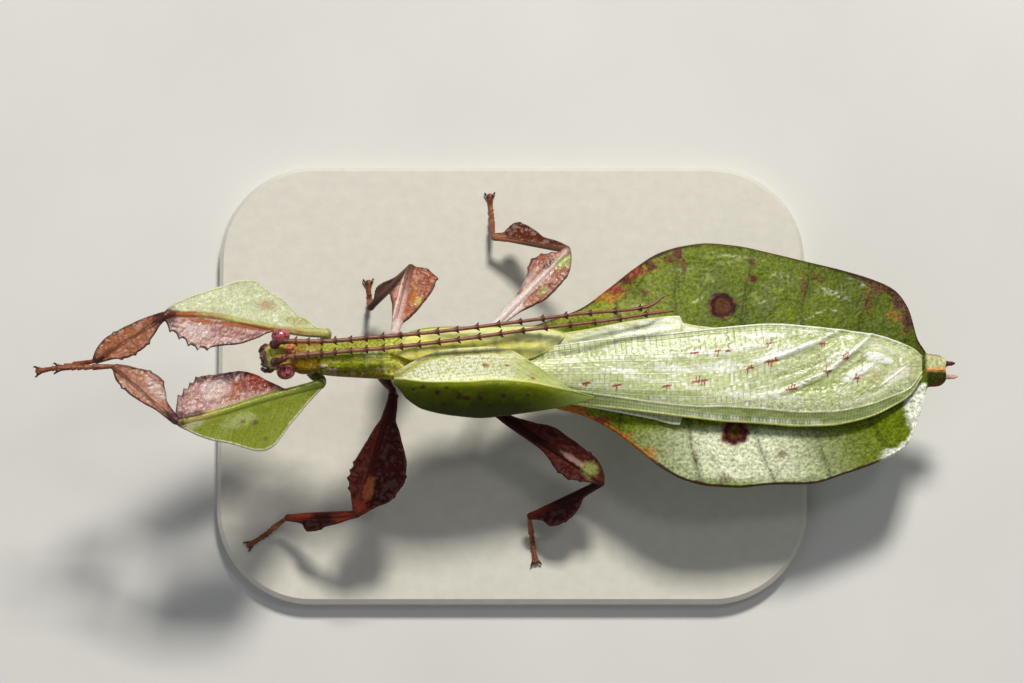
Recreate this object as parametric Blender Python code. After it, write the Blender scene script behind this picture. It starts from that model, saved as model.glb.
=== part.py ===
"""A life-size museum model of a male leaf insect, standing on a plain flat base.

Lengths are in millimetres and are turned into metres when a mesh is made. The head points along -X, the
insect's right side is +Y, and the origin is the centre of the base's underside. The thorax, the wings and the
abdomen are laid out in the body frame, whose X runs back along the insect and dips towards the tail, and whose
Z = 0 is the level of the back at the root of the wings.
"""

import math

import bpy
import numpy as np

MM = 0.001
GAP = 0.3  # clearance between neighbouring pieces
SHEET = 0.5  # thickness of wings and leaf-like lobes

# The base
BASE_LENGTH, BASE_WIDTH, BASE_THICKNESS = 56.0, 42.0, 2.0
BASE_CORNER = 9.0
BASE_CORNER_STEPS = 18
BASE_CHAMFER = 0.4
GROUND = BASE_THICKNESS + GAP  # level of the soles

# The body frame
BODY_HEIGHT = 14.4  # the back above the soles, over the origin
BODY_DIP = math.radians(8.0)
BODY_ORIGIN = np.array([0.0, 0.0, GROUND + BODY_HEIGHT])
BODY_X = np.array([math.cos(BODY_DIP), 0.0, -math.sin(BODY_DIP)])
BODY_Y = np.array([0.0, 1.0, 0.0])
BODY_Z = np.array([math.sin(BODY_DIP), 0.0, math.cos(BODY_DIP)])

# The back: how deep its middle lies along x, how wide it is flat, and how steeply its two sides fall
BACK_LEVEL = [(-21, 0.0), (-11, 0.0), (-8, -0.6), (-3, -1.5), (5, -1.5), (10, -1.0), (20, -0.6), (42, -0.4)]
BACK_FLAT = [(-21, 2.0), (4, 2.0), (10, 2.6), (20, 4.0), (42, 4.0)]
LEFT_FALL = [(-21, 0.3), (-11, 0.9), (4, 0.95), (9, 0.4), (16, 0.2), (42, 0.15)]
RIGHT_FALL = [(-21, 0.3), (-11, 0.9), (-6, 1.5), (3, 1.4), (9, 0.4), (16, 0.2), (42, 0.15)]
FALL_ROUNDING = 0.6

# Materials: colour and roughness
FINISHES = {
    "leaf_green": ((0.16, 0.22, 0.05), 0.5),
    "pale_green": ((0.42, 0.55, 0.20), 0.4),
    "wing_green": ((0.55, 0.64, 0.38), 0.35),
    "red_brown": ((0.22, 0.07, 0.05), 0.45),
    "pink_brown": ((0.45, 0.24, 0.20), 0.45),
    "eye_maroon": ((0.20, 0.03, 0.04), 0.15),
    "purple_brown": ((0.16, 0.06, 0.07), 0.45),
    "base_ivory": ((0.80, 0.78, 0.72), 0.6),
}


def smooth(knots, x):
    """A curve through (x, value) knots that never overshoots them, read at x, and level past its ends."""
    kx, ky = np.array(knots, float).T
    step = np.diff(kx)
    slope = np.diff(ky) / step
    tangent = np.zeros(len(kx))
    tangent[0], tangent[-1] = slope[0], slope[-1]
    for k in range(1, len(kx) - 1):
        if slope[k - 1] * slope[k] > 0:
            before, after = 2 * step[k] + step[k - 1], step[k] + 2 * step[k - 1]
            tangent[k] = (before + after) / (before / slope[k - 1] + after / slope[k])
    x = np.clip(np.asarray(x, float), kx[0], kx[-1])
    k = np.clip(np.searchsorted(kx, x) - 1, 0, len(step) - 1)
    t = (x - kx[k]) / step[k]
    rise = (3 - 2 * t) * t * t
    leave, arrive = t * (1 - t) ** 2, t * t * (t - 1)
    return ky[k] + (ky[k + 1] - ky[k]) * rise + step[k] * (tangent[k] * leave + tangent[k + 1] * arrive)


def curve_through(points, count):
    """A number of points, evenly spaced, on a smooth curve through the given ones."""
    points = np.array(points, float)
    along = np.concatenate([[0], np.cumsum(np.linalg.norm(np.diff(points, axis=0), axis=1))])
    fine = np.linspace(0, along[-1], 20 * count)
    path = np.stack([smooth(list(zip(along, points[:, axis])), fine) for axis in range(3)], axis=1)
    run = np.concatenate([[0], np.cumsum(np.linalg.norm(np.diff(path, axis=0), axis=1))])
    even = np.linspace(0, run[-1], count)
    return np.stack([np.interp(even, run, path[:, axis]) for axis in range(3)], axis=1)


def unit(vector):
    return np.asarray(vector, float) / np.linalg.norm(vector)


def on_body(x, y, z):
    """A point of the body frame in the model's own frame. It takes numbers or arrays."""
    x, y, z = np.broadcast_arrays(x, y, z)
    return BODY_ORIGIN + x[..., None] * BODY_X + y[..., None] * BODY_Y + z[..., None] * BODY_Z


def finish(name):
    if name in bpy.data.materials:
        return bpy.data.materials[name]
    colour, roughness = FINISHES[name]
    made = bpy.data.materials.new(name)
    made.use_nodes = True
    shader = made.node_tree.nodes["Principled BSDF"]
    shader.inputs["Base Color"].default_value = (*colour, 1.0)
    shader.inputs["Roughness"].default_value = roughness
    return made


def add_solid(name, shape, finish_name):
    """A mesh object from (points, faces), with its faces turned outwards."""
    points, faces = shape
    volume = 0.0
    for face in faces:
        for k in range(1, len(face) - 1):
            a, b, c = points[face[0]], points[face[k]], points[face[k + 1]]
            volume += float(np.dot(a, np.cross(b, c)))
    if volume < 0:
        faces = [face[::-1] for face in faces]
    mesh = bpy.data.meshes.new(name)
    mesh.from_pydata([tuple(point * MM) for point in points], [], faces)
    mesh.materials.append(finish(finish_name))
    mesh.shade_smooth()
    mesh.set_sharp_from_angle(angle=math.radians(40))
    made = bpy.data.objects.new(name, mesh)
    bpy.context.collection.objects.link(made)
    return made


def loft(rings):
    """A closed skin over rings of equally many points, with a fan over each end."""
    rings = np.array(rings, float)
    count, around = rings.shape[:2]
    points = list(rings.reshape(-1, 3))
    faces = []
    for i in range(count - 1):
        for j in range(around):
            k = (j + 1) % around
            faces.append((i * around + j, i * around + k, (i + 1) * around + k, (i + 1) * around + j))
    for ring, flip in ((0, True), (count - 1, False)):
        centre = len(points)
        points.append(rings[ring].mean(axis=0))
        for j in range(around):
            a, b = ring * around + j, ring * around + (j + 1) % around
            faces.append((b, a, centre) if flip else (a, b, centre))
    return np.array(points), faces


def slab(top, bottom):
    """A closed sheet between two grids of points, split into triangles alike on both faces."""
    rows, columns = top.shape[:2]
    points = np.concatenate([top.reshape(-1, 3), bottom.reshape(-1, 3)])
    under = rows * columns
    faces = []
    for i in range(rows - 1):
        for j in range(columns - 1):
            a, b = i * columns + j, i * columns + j + 1
            c, d = a + columns, b + columns
            for face in ((a, b, d), (a, d, c)):
                faces.append(face)
                faces.append(tuple(corner + under for corner in face[::-1]))
    edge = [(i, 0) for i in range(rows)]
    edge += [(rows - 1, j) for j in range(1, columns)]
    edge += [(i, columns - 1) for i in range(rows - 2, -1, -1)]
    edge += [(0, j) for j in range(columns - 2, 0, -1)]
    rim = [i * columns + j for i, j in edge]
    for a, b in zip(rim, rim[1:] + rim[:1]):
        faces.append((a, b, b + under, a + under))
    return points, faces


def tube(path, radii, sides=6, floor=None):
    """A round tube along a path. With a floor, whatever would reach below it is flattened onto it."""
    path = np.array(path, float)
    ahead = np.gradient(path, axis=0)
    across = np.cross(ahead[0], [0.0, 0.0, 1.0])
    if np.linalg.norm(across) < 1e-6:
        across = np.array([0.0, 1.0, 0.0])
    rings = []
    for point, direction, radius in zip(path, ahead, radii):
        direction = unit(direction)
        across = unit(across - np.dot(across, direction) * direction)
        up = np.cross(direction, across)
        turn = np.arange(sides) * 2 * math.pi / sides
        ring = point + radius * (np.cos(turn)[:, None] * across + np.sin(turn)[:, None] * up)
        if floor is not None:
            ring[:, 2] = np.maximum(ring[:, 2], floor)
        rings.append(ring)
    return loft(rings)


def combine(base, tools, operation):
    """Joins or cuts the base with closed meshes, applies it, and keeps the largest closed surface."""
    group = bpy.data.collections.new("tools")
    bpy.context.scene.collection.children.link(group)
    for tool in tools:
        bpy.context.collection.objects.unlink(tool)
        group.objects.link(tool)
    boolean = base.modifiers.new("combine", "BOOLEAN")
    boolean.operation = operation
    boolean.solver = "EXACT"
    boolean.operand_type = "COLLECTION"
    boolean.collection = group
    bpy.context.view_layer.update()
    shown = base.evaluated_get(bpy.context.evaluated_depsgraph_get())
    result = bpy.data.meshes.new_from_object(shown)
    base.modifiers.clear()
    base.data = result
    for tool in tools:
        bpy.data.objects.remove(tool)
    bpy.data.collections.remove(group)
    keep_largest(base)


def keep_largest(piece):
    mesh = piece.data
    owner = list(range(len(mesh.vertices)))

    def root(k):
        while owner[k] != k:
            owner[k] = owner[owner[k]]
            k = owner[k]
        return k

    for edge in mesh.edges:
        owner[root(edge.vertices[0])] = root(edge.vertices[1])
    sizes = {}
    for k in range(len(mesh.vertices)):
        sizes[root(k)] = sizes.get(root(k), 0) + 1
    largest = max(sizes, key=sizes.get)
    kept = {k: n for n, k in enumerate(k for k in range(len(mesh.vertices)) if root(k) == largest)}
    points = [mesh.vertices[k].co.copy() for k in kept]
    faces = [tuple(kept[k] for k in face.vertices) for face in mesh.polygons if face.vertices[0] in kept]
    whole = bpy.data.meshes.new(piece.name)
    whole.from_pydata(points, [], faces)
    for used in mesh.materials:
        whole.materials.append(used)
    whole.shade_smooth()
    whole.set_sharp_from_angle(angle=math.radians(40))
    piece.data = whole


def back(x, y):
    """Height of the back in the body frame: level in the middle, falling away on each side."""
    x, y = np.asarray(x, float), np.asarray(y, float)
    past = np.abs(y) - smooth(BACK_FLAT, x)
    fall = np.where(y < 0, smooth(LEFT_FALL, x), smooth(RIGHT_FALL, x))
    return smooth(BACK_LEVEL, x) - fall * (past + np.sqrt(past * past + FALL_ROUNDING**2)) / 2


def above_back(x, y, distance):
    """Height of a surface that keeps its distance, square to it, from the back."""
    reach = 0.05
    slope = (back(x, np.asarray(y) + reach) - back(x, np.asarray(y) - reach)) / (2 * reach)
    return back(x, y) + distance * np.sqrt(1 + slope * slope)


# The head and its frame: forward from its rear face, to the insect's right, and up
HEAD_YAW = math.radians(8.8)
HEAD_REAR = (-20.45, 0.16, 0.0)
HEAD_STATIONS = [0.0, 0.25, 0.55, 0.95, 1.35, 1.75, 2.1, 2.35, 2.5]
HEAD_WIDTH = [(0, 1.1), (0.25, 1.35), (0.75, 1.5), (1.2, 1.35), (1.8, 1.15), (2.2, 0.95), (2.5, 0.65)]
HEAD_TOP = [(0, 0.5), (0.35, 0.95), (0.8, 1.1), (1.3, 0.95), (1.85, 0.45), (2.25, -0.1), (2.5, -0.6)]
HEAD_UNDER = [(0, -1.1), (0.4, -1.5), (1.2, -1.8), (1.95, -2.1), (2.35, -2.0), (2.5, -1.6)]
HEAD_SIDES = 16
EYE_CENTRE = (0.62, 1.76, 0.3)
EYE_RADII = (0.74, 0.62, 0.7)
PALPS = [
    ([(2.0, 0.5, -1.6), (2.4, 0.75, -2.0), (2.7, 0.62, -2.35)], 0.25),
    ([(2.0, -0.5, -1.6), (2.4, -0.75, -2.0), (2.7, -0.62, -2.35)], 0.25),
]


def on_head(u, v, w):
    """A point of the head's frame in the model's own frame."""
    x0, y0, z0 = HEAD_REAR
    x = x0 - u * math.cos(HEAD_YAW) - v * math.sin(HEAD_YAW)
    y = y0 - u * math.sin(HEAD_YAW) + v * math.cos(HEAD_YAW)
    return on_body(x, y, z0 + w)


def ellipsoid(centre, radii, rows=10, around=14):
    """An upright ellipsoid in the head's frame."""
    points = [on_head(centre[0], centre[1], centre[2] + radii[2])]
    for i in range(1, rows):
        down = math.pi * i / rows
        for j in range(around):
            turn = 2 * math.pi * j / around
            u = centre[0] + radii[0] * math.sin(down) * math.cos(turn)
            v = centre[1] + radii[1] * math.sin(down) * math.sin(turn)
            points.append(on_head(u, v, centre[2] + radii[2] * math.cos(down)))
    points.append(on_head(centre[0], centre[1], centre[2] - radii[2]))
    last = len(points) - 1
    faces = []
    for j in range(around):
        k = (j + 1) % around
        faces.append((0, 1 + j, 1 + k))
        for i in range(rows - 2):
            a, b = 1 + i * around, 1 + (i + 1) * around
            faces.append((a + j, b + j, b + k, a + k))
        a = 1 + (rows - 2) * around
        faces.append((last, a + k, a + j))
    return np.array(points), faces


def build_head():
    rings = []
    for u in HEAD_STATIONS:
        width, top, under = smooth(HEAD_WIDTH, u), smooth(HEAD_TOP, u), smooth(HEAD_UNDER, u)
        turn = np.arange(HEAD_SIDES) * 2 * math.pi / HEAD_SIDES
        v = width * np.sign(np.cos(turn)) * np.abs(np.cos(turn)) ** 0.8
        w = (top + under) / 2 + (top - under) / 2 * np.sin(turn)
        rings.append(on_head(u, v, w))
    head = add_solid("head", loft(rings), "pale_green")
    palps = []
    for route, radius in PALPS:
        path = curve_through([on_head(*point) for point in route], 5)
        palps.append(add_solid("palp", tube(path, np.linspace(radius, 0.7 * radius, 5)), "purple_brown"))
    combine(head, palps, "UNION")
    sockets = []
    for side in (1, -1):
        centre = (EYE_CENTRE[0], side * EYE_CENTRE[1], EYE_CENTRE[2])
        wide = tuple(radius + GAP for radius in EYE_RADII)
        sockets.append(add_solid("socket", ellipsoid(centre, wide), "pale_green"))
        name = "eye_right" if side > 0 else "eye_left"
        add_solid(name, ellipsoid(centre, EYE_RADII), "eye_maroon")
    combine(head, sockets, "DIFFERENCE")


# The antennae: routes in the body frame, and segments that lengthen towards the tip
ANTENNA_SEGMENTS = 21
ANTENNA_FIRST, ANTENNA_LAST = 0.9, 2.4
ANTENNA_RADIUS, ANTENNA_TIP_RADIUS = 0.27, 0.2
ANTENNA_FLARE = 1.45
ANTENNA_ROUTES = {
    "antenna_right": [
        (-21.8, 0.85, 1.55), (-21.6, 0.9, 1.95), (-20.7, 0.95, 2.15), (-18, 1.0, 2.15), (-13.7, 1.4, 2.2),
        (-8, 2.0, 2.35), (-1, 3.0, 2.3), (6, 4.1, 2.0), (12.4, 5.0, 1.6), (14.0, 6.0, 1.6),
    ],
    "antenna_left": [
        (-21.75, -0.85, 1.5), (-21.6, -0.85, 1.9), (-20.8, -0.5, 2.15), (-16.8, 0.0, 2.2), (-11.1, 0.6, 2.35),
        (-5.3, 1.4, 2.4), (1.6, 2.5, 2.5), (8.7, 3.5, 2.5), (13.1, 4.3, 2.4), (14.7, 4.5, 2.4),
    ],
}


def build_antennae():
    lengths = np.linspace(ANTENNA_FIRST, ANTENNA_LAST, ANTENNA_SEGMENTS)
    ends = np.concatenate([[0], np.cumsum(lengths)]) / lengths.sum()
    neck, flare = 0.012, 0.004
    stops = [0.0]
    sizes = [1.2]
    for k, end in enumerate(ends[1:-1]):
        stops += [end - flare, end + neck - flare]
        sizes += [ANTENNA_FLARE if k > 1 else 1.3, 0.9]
    stops.append(1.0)
    sizes.append(0.7)
    for name, route in ANTENNA_ROUTES.items():
        fine = curve_through([on_body(*point) for point in route], 400)
        at = np.linspace(0, 1, len(fine))
        path = np.stack([np.interp(stops, at, fine[:, axis]) for axis in range(3)], axis=1)
        slim = np.interp(stops, [0, 0.06, 1], [1.3 * ANTENNA_RADIUS, ANTENNA_RADIUS, ANTENNA_TIP_RADIUS])
        add_solid(name, tube(path, slim * np.array(sizes)), "purple_brown")


# The thorax: half width and underside along x, in the body frame
THORAX_PIECES = {
    "pronotum": (-19.95, -17.95, 0.45, "leaf_green"),
    "mesothorax": (-17.65, -11.15, 0.5, "pale_green"),
}
THORAX_WIDTH = [(-20, 1.3), (-19.2, 1.65), (-18, 1.55), (-17.6, 1.65), (-14, 1.85), (-11, 1.95)]
THORAX_UNDER = [(-20, -1.3), (-19, -1.9), (-11, -1.9)]
THORAX_ACROSS = np.array([-1, -0.85, -0.6, -0.3, 0, 0.3, 0.6, 0.85, 1])
METATHORAX = (-10.85, -1.2)
METATHORAX_WIDTH = [(-10.9, 2.0), (-8, 2.8), (-5, 3.2), (-1, 3.0)]
METATHORAX_DEPTH = 1.75


def build_thorax():
    for name, (front, rear, crown, finish_name) in THORAX_PIECES.items():
        x = np.linspace(front, rear, 5 if rear - front < 3 else 8)[:, None]
        y = smooth(THORAX_WIDTH, x) * THORAX_ACROSS
        curve = np.sqrt(1 - np.abs(THORAX_ACROSS) ** 2.6)
        top = -0.5 + (0.5 + crown) * curve + 0 * x
        bottom = -0.9 + (smooth(THORAX_UNDER, x) + 0.9) * curve
        add_solid(name, slab(on_body(x, y, top), on_body(x, y, bottom)), finish_name)
    x = np.linspace(*METATHORAX, 9)[:, None]
    y = smooth(METATHORAX_WIDTH, x) * THORAX_ACROSS
    depth = SHEET + (METATHORAX_DEPTH - SHEET) * np.sqrt(1 - np.abs(THORAX_ACROSS) ** 2.6)
    top = back(x, y)
    bottom = np.minimum(top - SHEET, smooth(BACK_LEVEL, x) - depth)
    add_solid("metathorax", slab(on_body(x, y, top), on_body(x, y, bottom)), "pale_green")


# The abdomen: a flat leaf with a deeper belly under its middle
ABDOMEN_STATIONS = [-0.9, 1.5, 4.5, 7, 9.5, 12, 14.2, 16.5, 18.8, 21.5, 24.5, 28, 31.5, 34.5, 36.3, 37.5, 38.3, 38.9]
ABDOMEN_RIGHT = [
    (-0.9, 2.8), (1.5, 3.6), (4.5, 4.7), (7, 5.6), (9.5, 7.4), (12, 9.4), (14.2, 10.8), (16.5, 11.5),
    (18.8, 11.8), (21.5, 11.6), (24.5, 11.0), (28, 10.2), (31.5, 9.4), (34.5, 8.5), (36.3, 7.6), (37.5, 5.9),
    (38.3, 2.9), (38.9, 2.0),
]
ABDOMEN_LEFT = [
    (-0.9, 2.6), (1.5, 3.3), (4.5, 3.9), (7, 4.6), (9.5, 5.9), (12, 7.7), (14.2, 9.4), (16.5, 10.6),
    (18.8, 11.1), (21.5, 11.2), (24.5, 10.9), (28, 10.8), (31.5, 9.8), (34.5, 8.7), (36.3, 7.8), (37.5, 6.7),
    (38.3, 4.6), (38.9, 3.1),
]
BELLY_WIDTH = 3.0
BELLY_DEPTH = [(-1, 1.7), (6, 2.2), (20, 2.0), (34, 1.6), (38.5, 1.3)]
TAIL_WIDTH = [(39.2, 1.6), (40.2, 1.5), (40.8, 1.25), (41.1, 0.95)]
TAIL_DEPTH = [(39.2, 1.2), (40.4, 1.0), (41.1, 0.7)]
CERCI = {"cercus_right": (41.4, 0.65, 0.6), "cercus_left": (41.4, -0.6, 0.8)}


def build_abdomen():
    x = np.array(ABDOMEN_STATIONS)[:, None]
    right, left = smooth(ABDOMEN_RIGHT, x), smooth(ABDOMEN_LEFT, x)
    columns = []
    for edge, side in ((left, -1), (right, 1)):
        core = np.minimum(BELLY_WIDTH, 0.62 * edge)
        lobe = edge - core
        half = [core * 0.4, core * 0.75, core, core + lobe * 0.35, core + lobe * 0.7, edge]
        columns.append([side * column for column in half])
    y = np.concatenate(columns[0][::-1] + [0 * x] + columns[1], axis=1)
    core = np.minimum(BELLY_WIDTH, 0.62 * np.where(y < 0, left, right))
    round_belly = np.sqrt(np.clip(1 - (np.abs(y) / core) ** 2.4, 0, 1))
    top = back(x, y)
    bottom = top - SHEET - (smooth(BELLY_DEPTH, x) - SHEET) * round_belly
    add_solid("abdomen", slab(on_body(x, y, top), on_body(x, y, bottom)), "leaf_green")

    x = np.array([39.2, 39.7, 40.3, 40.8, 41.1])[:, None]
    across = THORAX_ACROSS[::2]
    y = smooth(TAIL_WIDTH, x) * across
    curve = np.sqrt(1 - np.abs(across) ** 2.6)
    top = back(x, y) - 0.3 + 0.3 * curve
    bottom = back(x, y) - SHEET - 0.2 - (smooth(TAIL_DEPTH, x) - SHEET) * curve
    add_solid("tail", slab(on_body(x, y, top), on_body(x, y, bottom)), "pale_green")
    for name, (root, offset, length) in CERCI.items():
        start = np.array([root, offset, -0.75])
        route = [start, start + [0.5 * length, 0, 0.05], start + [length, 0.05, 0.1]]
        path = curve_through([on_body(*point) for point in route], 4)
        add_solid(name, tube(path, [0.22, 0.25, 0.2, 0.1]), "purple_brown")


# The wings: front to rear outlines in the body frame, and the height of each one's top above the back
WING_VEIN = 0.15
LEFT_WING_X = np.array([-4.4, -3.2, -2.0, -0.9, 0.6, 2.4, 4.5, 7, 9.5, 12, 14.5, 17, 19.5, 22, 24.5, 27, 29.5, 32,
                        34, 35.6, 36.8, 37.8, 38.5])
LEFT_WING_INNER = [(-4.4, 0.4), (-1, 0.7), (2.4, 1.3), (8.3, 2.2), (14.3, 2.8), (19.1, 3.4), (24.8, 3.9),
                   (28.2, 3.7), (32.2, 3.3), (34.5, 3.0), (36.2, 2.5), (37.7, 1.9), (38.5, 1.3)]
LEFT_WING_OUTER = [(-4.4, -2.4), (-1, -2.7), (2.4, -3.4), (6.5, -3.9), (12.5, -4.6), (16.7, -5.1), (20, -5.4),
                   (22.7, -5.5), (26.9, -5.7), (29.7, -5.6), (31.8, -5.2), (33.8, -4.6), (35.6, -3.7),
                   (37.3, -2.6), (38.5, -1.0)]
LEFT_WING_TOP = [(-4.4, 0.9), (-1.4, 1.75), (42, 1.75)]
RIGHT_WING_X = np.array([-2.6, -1.8, -0.8, 0.2, 1.6, 4, 7, 9.5, 12, 14, 15.7, 16.1, 18, 21, 24, 27, 30, 33, 35.4, 37])
RIGHT_WING_OUTER = [(-2.6, 2.4), (2.5, 2.7), (7.2, 3.3), (12, 4.2), (15.7, 4.6), (16.1, 3.4), (21, 3.2), (30, 2.9),
                    (35, 2.0), (37, 1.0)]
RIGHT_WING_INNER = [(-2.6, 1.0), (-0.8, 1.0), (0.2, -1.0), (1.6, -2.6), (7, -3.9), (13.1, -5.1), (15.7, -5.6),
                    (16.1, -4.4), (24, -4.6), (31, -4.0), (35, -2.6), (37, -1.0)]
RIGHT_WING_TOP = 0.9
WING_ACROSS = np.array([0, 0.09, 0.19, 0.30, 0.41, 0.52, 0.63, 0.74, 0.85, 0.93, 1])
WING_RIDGES = np.array([1, 0, 1, 0, 1, 0, 1, 0, 1, 0, 0])
UNDER_WING_ACROSS = np.array([0, 0.12, 0.25, 0.5, 0.75, 0.88, 1])

# The short leathery fore wings, which ride over the roots of the hind wings
LEFT_TEGMEN_X = np.array([-10.6, -9.6, -8.4, -7, -5.4, -3.8, -2.2, -0.6, 0.8, 2.2, 3.4, 4.2])
LEFT_TEGMEN_INNER = [(-10.6, -1.2), (-9.5, -0.6), (-8.4, 0.0), (-6.7, 0.6), (-4.5, 0.9), (-2.3, 1.1), (-0.1, 0.8),
                     (1, 0.2), (2.8, -0.9), (4.2, -2.0)]
LEFT_TEGMEN_OUTER = [(-10.6, -2.7), (-9.6, -3.8), (-8.0, -4.65), (-5.0, -5.15), (-2.9, -5.25), (-0.4, -5.0),
                     (1.9, -4.6), (4.2, -4.5)]
RIGHT_TEGMEN_INNER = [(-10.6, 0.2), (-9.5, 0.3), (-8.4, 0.5), (-6.7, 1.0), (-4.5, 1.3), (-2.3, 1.45), (-0.1, 1.2),
                      (1, 1.0), (2.8, 1.4), (4.2, 2.0)]
RIGHT_TEGMEN_OUTER = [(-10.6, 1.7), (-9.2, 2.5), (-7.7, 2.9), (-4.4, 3.1), (-2.2, 3.2), (2.4, 3.4), (4.2, 3.3)]
TEGMEN_TOP = [(-10.6, 0.85), (-4, 2.7), (42, 2.75)]
LEFT_TEGMEN_ACROSS = np.array([0, 0.16, 0.32, 0.44, 0.52, 0.6, 0.74, 0.88, 1])
LEFT_TEGMEN_RIDGES = np.array([0, 0, 0, 0, 1, 0, 0, 1, 0])
RIGHT_TEGMEN_ACROSS = np.array([0, 0.3, 0.5, 0.75, 1])


def membrane(name, x, outer, inner, across, top, ridges, finish_name):
    """A thin sheet that keeps its distance from the back, with raised veins along some of its grid lines."""
    x = x[:, None]
    outer, inner = smooth(outer, x), smooth(inner, x)
    y = outer + (inner - outer) * across
    height = above_back(x, y, top)
    fade = np.sin(np.linspace(0, math.pi, len(x)))[:, None] ** 0.5
    raised = height + WING_VEIN * ridges * fade
    under = above_back(x, y, top - SHEET)
    add_solid(name, slab(on_body(x, y, raised), on_body(x, y, under)), finish_name)


def build_wings():
    none = 0 * UNDER_WING_ACROSS
    membrane("hindwing_right", RIGHT_WING_X, RIGHT_WING_OUTER, RIGHT_WING_INNER, UNDER_WING_ACROSS,
             RIGHT_WING_TOP, none, "wing_green")
    top = smooth(LEFT_WING_TOP, LEFT_WING_X)[:, None]
    membrane("hindwing_left", LEFT_WING_X, LEFT_WING_OUTER, LEFT_WING_INNER, WING_ACROSS, top, WING_RIDGES,
             "wing_green")
    top = smooth(TEGMEN_TOP, LEFT_TEGMEN_X)[:, None]
    membrane("tegmen_left", LEFT_TEGMEN_X, LEFT_TEGMEN_OUTER, LEFT_TEGMEN_INNER, LEFT_TEGMEN_ACROSS, top,
             LEFT_TEGMEN_RIDGES, "pale_green")
    membrane("tegmen_right", LEFT_TEGMEN_X, RIGHT_TEGMEN_OUTER, RIGHT_TEGMEN_INNER, RIGHT_TEGMEN_ACROSS, top,
             0 * RIGHT_TEGMEN_ACROSS, "pale_green")


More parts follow.
